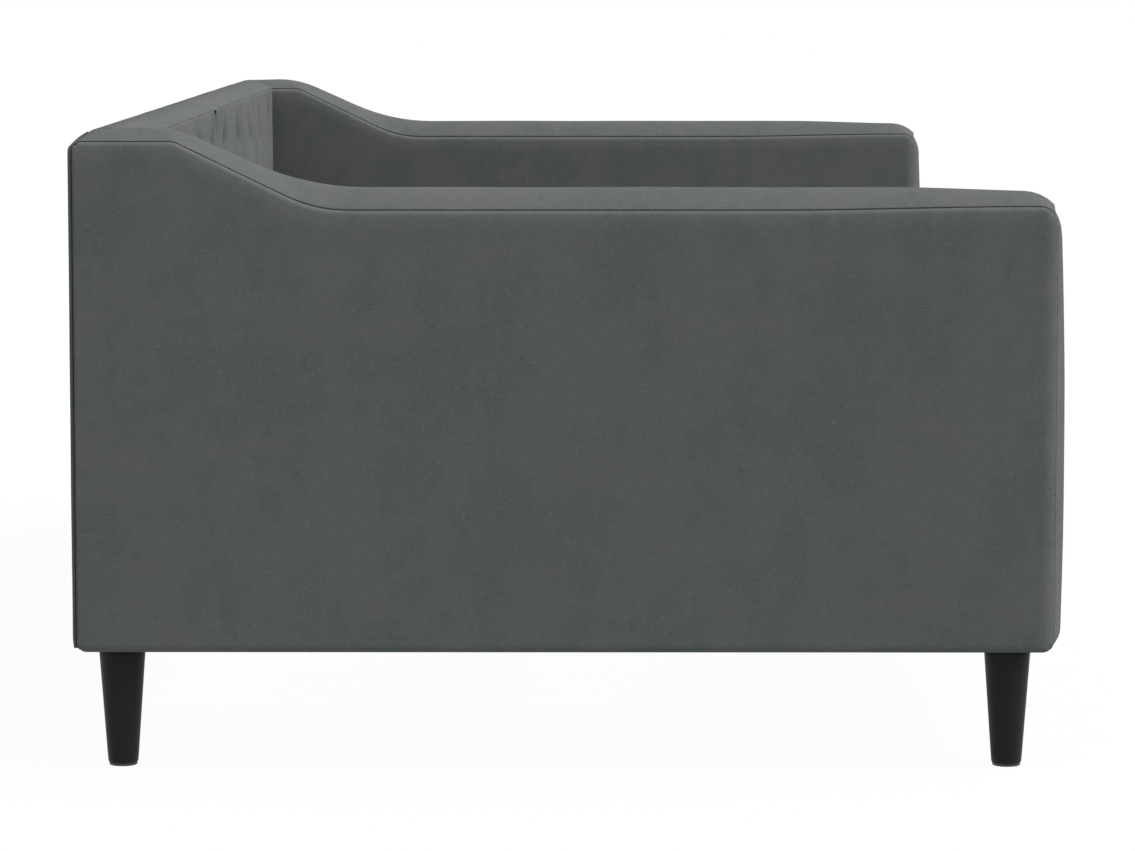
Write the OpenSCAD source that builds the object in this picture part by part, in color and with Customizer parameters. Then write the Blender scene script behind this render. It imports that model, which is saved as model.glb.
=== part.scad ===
// Daybed with a padded backrest in two halves, two padded arms that step down
// from the back in a slope, a front rail and a slatted base on tapered legs.
// Origin: the middle of the footprint, on the floor. +X runs to the right as
// seen from the front, +Y to the rear and +Z up. All sizes are millimetres.

/* [Overall] */
// Length over both arms
length = 2200; // [2000:10:2400]
// Depth from the rear face to the front of the arms
depth = 1050; // [1000:5:1200]
// Height of the backrest above the floor
back_top = 680; // [660:1:760]
// Height of the arms above the floor
arm_top = 617; // [590:1:630]
// Height of the upholstered body above the floor
body_bottom = 128; // [100:1:150]

/* [Arms] */
// Thickness of an arm, fabric to fabric
arm_thick = 85; // [75:1:120]
// Where the side seam starts to slope down, from the rear face
slope_start = 110; // [100:1:140]
// Where the sloping seam meets the level arm, from the rear face
slope_end = 258; // [230:1:320]
// Rise of the padded top above the side seams
arm_crown = 23; // [10:1:30]
// Reach of the padded front ahead of the side seams
front_crown = 12.5; // [5:0.5:20]
// Thickness of the foam and fabric on each side of an arm
side_pad = 11; // [8:1:15]

/* [Backrest] */
// Thickness of the backrest at its front seam
back_thick = 70; // [60:1:90]
// How far the padded front swells past that seam
back_swell = 12; // [4:1:20]
// Rise of the padded top above the front seam
back_crown = 13; // [5:1:20]
// Buttons in each row of one half
tuft_columns = 5; // [3:1:7]
// Height of the upper row of buttons
tuft_high = 612; // [590:1:620]
// Height of the lower row of buttons
tuft_low = 490; // [440:1:530]
// Diameter of a button
button_d = 24; // [18:1:32]

/* [Front rail and base] */
// Height of the front rail
rail_height = 172; // [140:1:220]
// Thickness of the front rail with its padding
rail_thick = 40; // [34:1:60]
// Height of the slats' underside above the floor
slat_level = 235; // [220:1:260]
// Number of slats
slat_count = 14; // [10:1:18]
// Width of a slat
slat_w = 60; // [50:1:80]
// Thickness of a slat
slat_h = 12; // [9:1:18]

/* [Legs] */
// Diameter of a leg where it meets the body
leg_top_d = 50; // [40:1:60]
// Diameter of a leg at the floor
leg_foot_d = 32; // [24:1:40]
// Distance of the rear legs from the rear face
leg_rear = 48; // [44:1:80]
// Distance of the front legs from the front of the arms
leg_front = 58.5; // [54:0.5:90]

/* [Hidden] */

// Colours
fabric = "#50544f";
fabric_light = "#757876";
lining = "#2b2b2c";
pine = "#d8bd8c";
board = "#a98a5c";
zinc = "#b8bcc0";
satin_black = "#222423";

// Steps in each rounded corner of a padded outline
arc_steps = 5;

// Reference planes
left_face = -length / 2;
arm_inside = left_face + arm_thick;
rear_face = depth / 2;
rear_skin = 3.5;                                  // thickness of the fabric-covered rear panels
panel_r = 26;                                     // radius of the rear top edge
panel_gap = 0.6;                                  // between a rear panel's curl and what it covers
body_rear = rear_face - rear_skin;
arm_seam = arm_top - arm_crown;
back_seam = back_top - back_crown;
side_seam_top = back_top - 14;                    // side seam behind the slope
front_seam = -rear_face + front_crown;

// Timber inside the arms
board_t = 3;
band_pad = 14;                                    // foam between the seam line and the timber
rail_t = 30;
foot_rail_h = 45;
post_w = 45;
cloth_t = 1.5;
timber_low = body_bottom + cloth_t;
timber_rear = body_rear - 6;
timber_front = front_seam + band_pad;
timber_w = arm_thick - 2 * (side_pad + board_t);
slope_angle = atan2(side_seam_top - arm_seam, slope_end - slope_start);

// Timber inside the backrest
back_timber = 35;
back_board_y = body_rear - back_timber;           // rear face of the front board
back_pad_y = back_board_y - board_t;              // rear face of the front pad
back_timber_top = back_seam - 12;
back_timber_low = body_bottom + 6;
back_foot_h = 70;                                 // bottom rail of the backrest
back_head_h = 40;                                 // top rail of the backrest
half = -arm_inside;                               // length of one half of the backrest

// Front rail, rear rail and ledge
rail_front = front_seam + 1.5;
rail_back = rail_front + rail_thick;
rail_core_t = 25;
rail_core_y = rail_front + 8;
rail_core_top = body_bottom + rail_height - 10;
rear_rail_t = 28;
rear_rail_y = rear_face - back_thick - rear_rail_t;
rear_rail_low = 140;
ledge_t = 28;
ledge_h = 45;
slat_rear = rear_face - back_thick - 2;
slat_front = rail_back + 2;
slat_pitch = 2 * half / slat_count;

// Fasteners
bolt_d = 8;
bolt_hole = bolt_d + 0.4;
bracket_l = 60;
bracket_h = 44;
bracket_t = 3;
bracket_z = body_bottom + 6;
bolt_z = bracket_z + bracket_h / 2;
bolt_steps = [18, 45];                            // bolt places along each leg of a bracket
bolt_l = 30;
back_bolt_x = [150, 850];
back_bolt_z = 180;
back_bolt_l = 80;
slat_screw_d = 4;
slat_screw_l = 30;

// Legs
leg_x = length / 2 - arm_thick / 2;
leg_places = [for (x = [-leg_x, leg_x]) for (y = [rear_face - leg_rear, -rear_face + leg_front]) [x, y]];
glide_h = 3;
stud_in_leg = 30;
stud_in_body = 19;
nut_l = 18;
nut_d = 12;
beam_w = 35;
beam_h = 55;
beam_y = (slat_rear + slat_front) / 2;
beam_low = slat_level - beam_h;

// ---------------------------------------------------------------- outlines

// Distance from the rear face to a Y coordinate
function at(d) = rear_face - d;

function unit(v) = v / norm(v);

// One corner of a closed anticlockwise outline as [point, outward normal] pairs.
// A radius of 0 keeps the corner sharp and in place when the outline is drawn in.
function corner(pts, radii, i) =
    let (n = len(pts),
         a = unit(pts[i] - pts[(i + n - 1) % n]),
         b = unit(pts[(i + 1) % n] - pts[i]),
         turn = atan2(a.x * b.y - a.y * b.x, a * b),
         r = radii[i] * sign(turn),
         first = [a.y, -a.x],
         from = atan2(first.y, first.x),
         centre = pts[i] - a * radii[i] * abs(tan(turn / 2)) - first * r)
    radii[i] == 0
        ? [[pts[i], [0, 0]]]
        : [for (k = [0 : arc_steps])
              let (out = [cos(from + turn * k / arc_steps), sin(from + turn * k / arc_steps)])
              [centre + out * r, out]];

function rounded(pts, radii) = [for (i = [0 : len(pts) - 1]) each corner(pts, radii, i)];

function drawn_in(line, by) = [for (e = line) e[0] - by * e[1]];

function between(one, other, share) =
    [for (i = [0 : len(one) - 1]) one[i] * (1 - share) + other[i] * share];

// Closed skin through a row of outlines, each given as [x, points in Y and Z],
// with both ends closed by a fan of faces about the middle of the outline
module loft(rings) {
    n = len(rings[0][1]);
    last = len(rings) - 1;
    hub = (last + 1) * n;
    ends = [for (ring = [rings[0], rings[last]])
        let (m = [for (p = ring[1]) 1] * ring[1] / n)
        [ring[0], m.x, m.y]];
    skin = [for (j = [0 : last - 1]) for (i = [0 : n - 1])
        let (a = j * n + i, b = j * n + (i + 1) % n)
        each [[a, a + n, b + n], [a, b + n, b]]];
    caps = [for (i = [0 : n - 1])
        let (next = (i + 1) % n)
        each [[i, next, hub], [last * n + next, last * n + i, hub + 1]]];
    polyhedron(
        points = concat([for (ring = rings) for (p = ring[1]) [ring[0], p.x, p.y]], ends),
        faces = concat(skin, caps));
}

// A Y-Z outline extruded along X
module across(x, w) {
    translate([x, 0, 0])
        rotate([90, 0, 90])
            linear_extrude(w) children();
}

// A box from its low corner to its high corner
module block(low, high) {
    translate(low) cube(high - low);
}

// Children as they are on the left, mirrored on the right
module side(which) {
    mirror([which == "right" ? 1 : 0, 0, 0]) children();
}

// ---------------------------------------------------------------- arms

// Side seam of an arm: front bottom, rear bottom, rear top, slope start, slope end, front top
seam_line = rounded(
    [[front_seam, body_bottom], [body_rear, body_bottom], [body_rear, side_seam_top],
     [at(slope_start), side_seam_top], [at(slope_end), arm_seam], [front_seam, arm_seam]],
    [12, 10, 16, 15, 150, 18]);

// Middle of the padded band, where it stands highest and runs in wider curves
crest_line = rounded(
    [[-rear_face, body_bottom], [body_rear, body_bottom], [body_rear, back_top],
     [at(slope_start - 3), back_top], [at(slope_end - 11), arm_top], [-rear_face, arm_top]],
    [20, 10, panel_r, 140, 285, 43]);

// Timber outline inside an arm, a pad's thickness within the seam line
function timber_line(pad, low) =
    let (shift = pad * tan(slope_angle / 2))
    [[front_seam + pad, low], [timber_rear, low], [timber_rear, side_seam_top - pad],
     [at(slope_start) + shift, side_seam_top - pad],
     [at(slope_end) + shift, arm_seam - pad], [front_seam + pad, arm_seam - pad]];

// Padded side panel: its edge rounds over from the flat face to the seam
seam_depth = 6;
edge_round = 10;
edge_turn = 55;
module side_pad_shape() {
    rings = [for (a = [0 : edge_turn / 4 : edge_turn])
        [left_face + seam_depth * (1 - cos(a)) / (1 - cos(edge_turn)),
         drawn_in(seam_line, edge_round * (1 - sin(a) / sin(edge_turn)))]];
    loft(rings);
    across(left_face + 2, side_pad - 2) polygon(timber_line(band_pad, body_bottom));
}

module arm_outer_pad() {
    color(fabric) side_pad_shape();
}

module arm_inner_pad() {
    color(fabric)
        difference() {
            translate([arm_inside + left_face, 0, 0]) mirror([1, 0, 0]) side_pad_shape();
            arm_bolt_holes();
        }
}

// Padded band over the front, the arm, the slope and the end of the back. It is
// rounder than a ridge (a power of 1) and a little more pointed than an arc (2).
band_power = 1.8;
module arm_band() {
    seam_points = drawn_in(seam_line, 0);
    crest_points = drawn_in(crest_line, 0);
    run = arm_thick / 2 - seam_depth;
    shares = [0, 0.1, 0.25, 0.45, 0.7, 1];
    rise = [for (t = shares)
        [left_face + seam_depth + run * t, between(seam_points, crest_points, 1 - pow(1 - t, band_power))]];
    fall = [for (i = [len(shares) - 2 : -1 : 0]) [arm_inside + left_face - rise[i][0], rise[i][1]]];
    color(fabric_light)
        difference() {
            loft(concat(rise, fall));
            across(left_face - 1, arm_thick + 2) polygon(timber_line(band_pad, body_bottom - 1));
        }
}

// Two hardboard sides of an arm frame
module arm_boards() {
    color(board)
        difference() {
            for (x = [left_face + side_pad, arm_inside - side_pad - board_t])
                across(x, board_t) polygon(timber_line(band_pad, timber_low));
            arm_bolt_holes();
        }
}

// A frame member of the arm, given by its Y-Z outline
module arm_member(outline) {
    across(left_face + side_pad + board_t, timber_w) polygon(outline);
}

// Foot rail, arm rail, sloping rail and back rail, mitred where they meet
module arm_rails() {
    outer = timber_line(band_pad, timber_low);
    inner = timber_line(band_pad + rail_t, timber_low);
    foot_top = timber_low + foot_rail_h;
    color(pine) {
        difference() {
            arm_member([outer[0], outer[1], [timber_rear, foot_top], [timber_front, foot_top]]);
            arm_bolt_holes();
            for (p = leg_places)
                translate([p.x, p.y, timber_low - 1]) cylinder(h = nut_l + 1, d = nut_d + 0.2, $fn = 32);
        }
        arm_member([outer[5], [timber_front, inner[5].y], inner[4], outer[4]]);
        arm_member([outer[4], inner[4], inner[3], outer[3]]);
        arm_member([outer[3], inner[3], [timber_rear, inner[2].y], outer[2]]);
    }
}

// Front, middle and rear posts between the foot rail and the top rails
module arm_posts() {
    low = timber_low + foot_rail_h;
    arm_under = arm_seam - band_pad - rail_t;
    back_under = side_seam_top - band_pad - rail_t;
    middle = (timber_front + at(slope_end) - post_w) / 2;
    color(pine)
        for (post = [[timber_front, arm_under], [middle, arm_under], [timber_rear - post_w, back_under]])
            arm_member([[post[0], low], [post[0] + post_w, low],
                        [post[0] + post_w, post[1]], [post[0], post[1]]]);
}

// Black lining under an arm, pierced by the leg studs
module arm_dust_cloth() {
    color(lining)
        difference() {
            block([left_face + side_pad, timber_front, body_bottom],
                  [arm_inside - side_pad, timber_rear, timber_low]);
            for (p = leg_places)
                translate([p.x, p.y, body_bottom - 1]) cylinder(h = cloth_t + 2, d = bolt_d + 1, $fn = 32);
        }
}

// Bores for the bracket bolts, from the inner face of an arm into its foot rail
module arm_bolt_holes() {
    for (y = concat([for (s = bolt_steps) rail_back + s], [for (s = bolt_steps) rear_rail_y - s]))
        translate([arm_inside + 1, y, bolt_z])
            rotate([0, -90, 0]) cylinder(h = bolt_l + 1, d = bolt_hole, $fn = 32);
}

// ---------------------------------------------------------------- rear panels

// Thin fabric-covered board, curved forward over the rear top edge
module rear_panel_shape(x, w) {
    inner_r = panel_r + panel_gap;
    outer_r = panel_r + rear_skin;
    arc = [for (a = [0 : 9 : 45]) a];
    centre = [body_rear - panel_r, back_top - panel_r];
    across(x, w)
        polygon(concat(
            [[body_rear, body_bottom + 3], [rear_face, body_bottom + 3]],
            [for (a = arc) centre + outer_r * [cos(a), sin(a)]],
            [for (i = [len(arc) - 1 : -1 : 0]) centre + inner_r * [cos(arc[i]), sin(arc[i])]],
            [[body_rear, back_top - panel_r - 1]]));
}

module arm_rear_panel() {
    color(fabric) rear_panel_shape(left_face + 3, arm_thick - 3);
}

module back_rear_panel() {
    color(fabric) rear_panel_shape(arm_inside, half);
}

// ---------------------------------------------------------------- backrest

// Front pad outline: front bottom, rear bottom, rear top, seam, upper and lower swell, foot of the swell
function front_pad_line(swell) = rounded(
    [[at(back_thick), body_bottom], [back_pad_y, body_bottom], [back_pad_y, back_timber_top],
     [at(back_thick), back_seam], [at(back_thick + swell), back_seam - 31],
     [at(back_thick + swell), slat_level + 57], [at(back_thick), slat_level + 15]],
    [8, 0, 0, 2, 90, 120, 60]);

// Top pad outline: front low, rear low, rear top, start of the fall, seam
function top_pad_line() = rounded(
    [[back_pad_y, back_timber_top], [body_rear, back_timber_top], [body_rear, back_top],
     [at(46), back_top], [at(back_thick), back_seam]],
    [0, 0, panel_r, 40, 2]);

// Rings along one half of the backrest: [distance from its end, edge drawn in, share of the swell]
end_rings = [[0, 9, 0], [2, 5, 0], [6, 2, 0.1], [14, 0, 0.25], [45, 0, 0.6], [110, 0, 0.9], [200, 0, 1]];
least_swell = 3;                                  // at the ends of a half
function along(rings) = concat(
    [for (e = rings) [arm_inside + e[0], e[1], e[2]]],
    [for (i = [len(rings) - 1 : -1 : 0]) [-rings[i][0], rings[i][1], rings[i][2]]]);

// Middle of each button's seat on one half
button_seat = 10;                                 // how far the buttons are pulled in behind the front seam
button_side = 3;                                  // straight side of a button below its dome
button_dome = 5;
dimple_spread = 44;                               // how much wider than the button a dimple opens
tuft_pitch = half / tuft_columns;
tufts = [for (z = [tuft_high, tuft_low]) for (i = [0 : tuft_columns - 1])
    [arm_inside + (i + 0.5) * tuft_pitch, at(back_thick - button_seat), z]];

module back_front_pad() {
    dimple_h = button_seat + back_swell + 3;
    color(fabric_light)
        difference() {
            loft([for (e = along(end_rings))
                  [e[0], drawn_in(front_pad_line(least_swell + (back_swell - least_swell) * e[2]), e[1])]]);
            for (t = tufts)
                translate(t) rotate([90, 0, 0])
                    cylinder(h = dimple_h, d1 = button_d + 2, d2 = button_d + dimple_spread, $fn = 48);
            back_bolt_holes();
        }
}

module back_top_pad() {
    color(fabric_light)
        loft([for (e = along([for (i = [0 : 3]) end_rings[i]])) [e[0], drawn_in(top_pad_line(), e[1])]]);
}

// Fabric-covered domed buttons, pulled down into the foam
module back_buttons() {
    color(fabric_light)
        for (t = tufts)
            translate(t) rotate([90, 0, 0]) rotate_extrude($fn = 32)
                polygon(concat([[0, 0], [button_d / 2, 0]],
                               [for (a = [10 : 16 : 90])
                                   [button_d / 2 * cos(a), button_side + button_dome * sin(a)]]));
}

module back_board() {
    color(board)
        difference() {
            block([arm_inside + 1, back_pad_y, back_timber_low], [-1, back_board_y, back_timber_top]);
            back_bolt_holes();
        }
}

module back_rails() {
    color(pine)
        difference() {
            for (z = [[back_timber_low, back_timber_low + back_foot_h],
                      [back_timber_top - back_head_h, back_timber_top]])
                block([arm_inside + 1, back_board_y, z[0]], [-1, body_rear, z[1]]);
            back_bolt_holes();
        }
}

module back_stiles() {
    stile_w = 45;
    first = arm_inside + 1;
    color(pine)
        for (x = [first, first + (half - 2 - stile_w) / 2, -1 - stile_w])
            block([x, back_board_y, back_timber_low + back_foot_h],
                  [x + stile_w, body_rear, back_timber_top - back_head_h]);
}

// Bores from the rear rail into the bottom rail of the backrest
module back_bolt_holes() {
    for (x = back_bolt_x)
        translate([-x, rear_rail_y - 1, back_bolt_z])
            rotate([-90, 0, 0]) cylinder(h = back_bolt_l + 1.5, d = bolt_hole, $fn = 32);
}

// ---------------------------------------------------------------- rails and base

// Bores for the bracket bolts in a rail that runs from arm to arm, going in along dir
module rail_bolt_holes(y, dir) {
    for (s = bolt_steps) for (x = [arm_inside + s, -arm_inside - s])
        translate([x, y - dir, bolt_z])
            rotate([-90 * dir, 0, 0]) cylinder(h = bolt_l + 1, d = bolt_hole, $fn = 32);
}

module front_rail() {
    color(pine)
        difference() {
            block([arm_inside, rail_core_y, body_bottom],
                  [-arm_inside, rail_core_y + rail_core_t, rail_core_top]);
            rail_bolt_holes(rail_back, -1);
        }
}

// Foam and fabric wrapped over the front rail, open underneath
module front_rail_pad() {
    top = body_bottom + rail_height;
    line = rounded([[rail_front, body_bottom], [rail_back, body_bottom], [rail_back, top], [rail_front, top]],
                   [8, 3, 12, 15]);
    color(fabric)
        difference() {
            across(arm_inside, 2 * half) polygon(drawn_in(line, 0));
            block([arm_inside - 1, rail_core_y, body_bottom - 1],
                  [-arm_inside + 1, rail_core_y + rail_core_t, rail_core_top]);
            rail_bolt_holes(rail_back, -1);
        }
}

module rear_rail() {
    color(pine)
        difference() {
            block([arm_inside, rear_rail_y, rear_rail_low],
                  [-arm_inside, rear_rail_y + rear_rail_t, slat_level]);
            rail_bolt_holes(rear_rail_y, 1);
            back_bolt_holes();
            mirror([1, 0, 0]) back_bolt_holes();
            slat_screw_holes();
        }
}

module front_ledge() {
    color(pine)
        difference() {
            block([arm_inside, rail_back, slat_level - ledge_h],
                  [-arm_inside, rail_back + ledge_t, slat_level]);
            slat_screw_holes();
        }
}

module centre_beam() {
    color(pine)
        difference() {
            block([arm_inside + 2, beam_y - beam_w / 2, beam_low],
                  [-arm_inside - 2, beam_y + beam_w / 2, slat_level]);
            translate([0, beam_y, beam_low - 1]) cylinder(h = stud_in_body + 1, d = bolt_hole, $fn = 32);
        }
}

// Folded steel cups that hang the beam's ends on the arms
module beam_holders() {
    sheet = 2;
    reach = 42;
    cheek = beam_w / 2 + sheet;
    color(zinc)
        for (which = ["left", "right"]) side(which) {
            block([arm_inside, beam_y - cheek - 14, beam_low - sheet],
                  [arm_inside + sheet, beam_y + cheek + 14, slat_level - 5]);
            block([arm_inside, beam_y - cheek, beam_low - sheet],
                  [arm_inside + reach, beam_y + cheek, beam_low]);
            for (y = [beam_y - cheek, beam_y + beam_w / 2])
                block([arm_inside, y, beam_low - sheet], [arm_inside + reach, y + sheet, beam_low + 36]);
        }
}

function slat_x(i) = arm_inside + (i + 0.5) * slat_pitch;
slat_screw_y = [slat_rear - 12, slat_front + 12];

module slats() {
    color(pine)
        difference() {
            for (i = [0 : slat_count - 1])
                block([slat_x(i) - slat_w / 2, slat_front, slat_level],
                      [slat_x(i) + slat_w / 2, slat_rear, slat_level + slat_h]);
            slat_screw_holes();
        }
}

module slat_screw_holes() {
    for (i = [0 : slat_count - 1]) for (y = slat_screw_y)
        translate([slat_x(i), y, slat_level + slat_h - slat_screw_l - 1])
            cylinder(h = slat_screw_l + 2, d = slat_screw_d + 0.4, $fn = 24);
}

// Two webbing straps that keep the slats at their spacing
module slat_straps() {
    strap_w = 25;
    color(lining)
        for (y = [slat_rear - 100, slat_front + 100])
            block([slat_x(0) - slat_w / 2, y - strap_w / 2, slat_level + slat_h],
                  [slat_x(slat_count - 1) + slat_w / 2, y + strap_w / 2, slat_level + slat_h + 1.2]);
}

module slat_screws() {
    color(zinc)
        for (i = [0 : slat_count - 1]) for (y = slat_screw_y)
            translate([slat_x(i), y, slat_level + slat_h]) {
                translate([0, 0, -slat_screw_l]) cylinder(h = slat_screw_l + 1, d = slat_screw_d, $fn = 24);
                cylinder(h = 2.5, d1 = 9, d2 = 6, $fn = 24);
            }
}

// ---------------------------------------------------------------- hardware

// Steel angle bracket: one leg on the arm, one on the rail, for the corner at y facing dir
module rail_bracket(y, dir) {
    far = y + dir * bracket_l;
    near = y + dir * bracket_t;
    difference() {
        union() {
            block([arm_inside, min(y, far), bracket_z],
                  [arm_inside + bracket_t, max(y, far), bracket_z + bracket_h]);
            block([arm_inside, min(y, near), bracket_z],
                  [arm_inside + bracket_l, max(y, near), bracket_z + bracket_h]);
        }
        bracket_holes(y, dir);
    }
}

// Bores through both legs of a bracket
module bracket_holes(y, dir) {
    for (s = bolt_steps) {
        translate([arm_inside - 1, y + dir * s, bolt_z])
            rotate([0, 90, 0]) cylinder(h = bracket_t + 2, d = bolt_hole, $fn = 32);
        translate([arm_inside + s, y - dir, bolt_z])
            rotate([-90 * dir, 0, 0]) cylinder(h = bracket_t + 2, d = bolt_hole, $fn = 32);
    }
}

module rail_brackets() {
    color(zinc)
        for (which = ["left", "right"]) side(which) {
            rail_bracket(rail_back, 1);
            rail_bracket(rear_rail_y, -1);
        }
}

// Flanged hexagon bolt, its flange at the origin and its shank going down -Z
module bolt(l) {
    translate([0, 0, -l]) cylinder(h = l + 1, d = bolt_d, $fn = 32);
    cylinder(h = 1.5, d = 17, $fn = 32);
    cylinder(h = 7, d = 15, $fn = 6);
}

module bracket_bolts() {
    color(zinc)
        for (which = ["left", "right"]) side(which)
            for (corner_y = [[rail_back, 1], [rear_rail_y, -1]]) for (s = bolt_steps) {
                translate([arm_inside + bracket_t, corner_y[0] + corner_y[1] * s, bolt_z])
                    rotate([0, 90, 0]) bolt(bolt_l);
                translate([arm_inside + s, corner_y[0] + corner_y[1] * bracket_t, bolt_z])
                    rotate([-90 * corner_y[1], 0, 0]) bolt(bolt_l);
            }
}

module back_bolts() {
    color(zinc)
        for (which = ["left", "right"]) side(which) for (x = back_bolt_x)
            translate([-x, rear_rail_y, back_bolt_z]) rotate([90, 0, 0]) bolt(back_bolt_l);
}

// ---------------------------------------------------------------- legs

// Tapered leg from its glide up to z, bored for its stud
module leg(z) {
    difference() {
        translate([0, 0, glide_h]) cylinder(h = z - glide_h, d1 = leg_foot_d, d2 = leg_top_d, $fn = 64);
        translate([0, 0, z - stud_in_leg]) cylinder(h = stud_in_leg + 1, d = bolt_hole, $fn = 32);
    }
}

module glide() {
    cylinder(h = glide_h, d = leg_foot_d - 2, $fn = 48);
}

module stud(z) {
    translate([0, 0, z - stud_in_leg]) cylinder(h = stud_in_leg + stud_in_body, d = bolt_d, $fn = 32);
}

module corner_legs() {
    color(satin_black) for (p = leg_places) translate([p.x, p.y, 0]) leg(body_bottom);
}

module leg_studs() {
    color(zinc) for (p = leg_places) translate([p.x, p.y, 0]) stud(body_bottom);
}

// Threaded inserts in the foot rails that take the studs
module leg_nuts() {
    color(zinc)
        for (p = leg_places) translate([p.x, p.y, timber_low])
            difference() {
                cylinder(h = nut_l, d = nut_d, $fn = 32);
                translate([0, 0, -1]) cylinder(h = nut_l + 2, d = bolt_hole, $fn = 32);
            }
}

module leg_glides() {
    color(lining) for (p = leg_places) translate([p.x, p.y, 0]) glide();
}

module centre_leg() {
    color(satin_black) translate([0, beam_y, 0]) leg(beam_low);
}

module centre_leg_stud() {
    color(zinc) translate([0, beam_y, 0]) stud(beam_low);
}

module centre_leg_glide() {
    color(lining) translate([0, beam_y, 0]) glide();
}

// ---------------------------------------------------------------- assembly

arm_outer_pad();  // left_arm_outer_pad
arm_inner_pad();  // left_arm_inner_pad
arm_band();  // left_arm_band
arm_boards();  // left_arm_boards
arm_rails();  // left_arm_rails
arm_posts();  // left_arm_posts
arm_rear_panel();  // left_arm_rear_panel
arm_dust_cloth();  // left_arm_dust_cloth
side("right") arm_outer_pad();  // right_arm_outer_pad
side("right") arm_inner_pad();  // right_arm_inner_pad
side("right") arm_band();  // right_arm_band
side("right") arm_boards();  // right_arm_boards
side("right") arm_rails();  // right_arm_rails
side("right") arm_posts();  // right_arm_posts
side("right") arm_rear_panel();  // right_arm_rear_panel
side("right") arm_dust_cloth();  // right_arm_dust_cloth
back_front_pad();  // left_back_front_pad
back_top_pad();  // left_back_top_pad
back_board();  // left_back_board
back_rails();  // left_back_rails
back_stiles();  // left_back_stiles
back_rear_panel();  // left_back_rear_panel
back_buttons();  // left_back_buttons
side("right") back_front_pad();  // right_back_front_pad
side("right") back_top_pad();  // right_back_top_pad
side("right") back_board();  // right_back_board
side("right") back_rails();  // right_back_rails
side("right") back_stiles();  // right_back_stiles
side("right") back_rear_panel();  // right_back_rear_panel
side("right") back_buttons();  // right_back_buttons
front_rail();
front_rail_pad();
rear_rail();
front_ledge();
centre_beam();
beam_holders();
slats();
slat_straps();
slat_screws();
rail_brackets();
bracket_bolts();
back_bolts();
corner_legs();
leg_studs();
leg_nuts();
leg_glides();
centre_leg();
centre_leg_stud();
centre_leg_glide();
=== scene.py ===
"""The looks of a two-arm daybed: tufted back in two halves, padded arms, slatted base, tapered legs."""

import math

import bmesh
import bpy
import numpy as np
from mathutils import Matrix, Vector, noise


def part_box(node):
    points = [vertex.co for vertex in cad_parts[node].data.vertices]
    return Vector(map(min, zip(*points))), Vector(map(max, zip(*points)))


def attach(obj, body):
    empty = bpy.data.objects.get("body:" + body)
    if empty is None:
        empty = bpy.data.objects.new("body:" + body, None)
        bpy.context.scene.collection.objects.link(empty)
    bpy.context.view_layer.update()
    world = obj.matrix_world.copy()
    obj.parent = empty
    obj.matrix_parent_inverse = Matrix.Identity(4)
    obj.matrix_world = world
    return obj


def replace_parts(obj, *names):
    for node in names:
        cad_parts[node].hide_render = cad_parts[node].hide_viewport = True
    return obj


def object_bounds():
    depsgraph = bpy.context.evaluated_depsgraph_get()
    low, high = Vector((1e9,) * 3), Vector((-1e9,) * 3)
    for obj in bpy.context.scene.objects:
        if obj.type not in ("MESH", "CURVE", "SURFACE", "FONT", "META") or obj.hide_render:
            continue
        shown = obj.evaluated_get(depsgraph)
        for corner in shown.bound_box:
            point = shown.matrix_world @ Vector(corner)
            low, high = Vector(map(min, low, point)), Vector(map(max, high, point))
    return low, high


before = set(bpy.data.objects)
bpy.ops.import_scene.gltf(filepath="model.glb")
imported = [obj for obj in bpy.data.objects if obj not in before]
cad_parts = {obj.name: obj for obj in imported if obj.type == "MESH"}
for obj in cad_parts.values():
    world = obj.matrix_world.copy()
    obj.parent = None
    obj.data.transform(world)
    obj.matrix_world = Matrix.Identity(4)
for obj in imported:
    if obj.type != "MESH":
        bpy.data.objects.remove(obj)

cad_low, cad_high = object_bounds()

# ------------------------------------------------------------------ Camera, floor and lights
# A long lens looks along the daybed from beyond its left arm, a little above the arms.
# The floor is plain and pale, the sky even, and one broad lamp stands high in front.

camera_distance = 4.814          # from the face of the left arm
camera_side = -0.019             # Y of the camera
camera_height = 0.847
camera_pitch = math.radians(5.68)
camera_turn = math.radians(0.25)  # towards the rear
camera_lens = 145.9              # mm, on a sensor 36 mm wide

floor_size = 60.0
floor_glow = 0.955                # the floor's own light, which keeps shadows faint
sky_strength = 1.0
lamp_strength = 6.9
lamp_spread = math.radians(50)   # a soft box rather than a spot
lamp_from = Vector((-0.09, -0.648, 0.757))


def linear(colour, alpha=1.0):
    """An sRGB hex colour as the linear values that shaders take."""
    parts = [int(colour[i:i + 2], 16) / 255 for i in (1, 3, 5)]
    return tuple(c / 12.92 if c <= 0.04045 else ((c + 0.055) / 1.055) ** 2.4 for c in parts) + (alpha,)


def add(tree, kind, inputs=None, **settings):
    """Adds a node, sets its settings, and fills its inputs with values or with links from other sockets."""
    node = tree.nodes.new(kind)
    for name, value in settings.items():
        setattr(node, name, value)
    for key, value in (inputs or {}).items():
        if isinstance(value, bpy.types.NodeSocket):
            tree.links.new(value, node.inputs[key])
        else:
            node.inputs[key].default_value = value
    return node


def start_material(name, **values):
    """A new material with one Principled shader: returns the material, its tree and the shader."""
    made = bpy.data.materials.new(name)
    made.use_nodes = True
    tree = made.node_tree
    tree.nodes.clear()
    shader = add(tree, "ShaderNodeBsdfPrincipled", values)
    add(tree, "ShaderNodeOutputMaterial", {"Surface": shader.outputs[0]})
    return made, tree, shader


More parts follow.
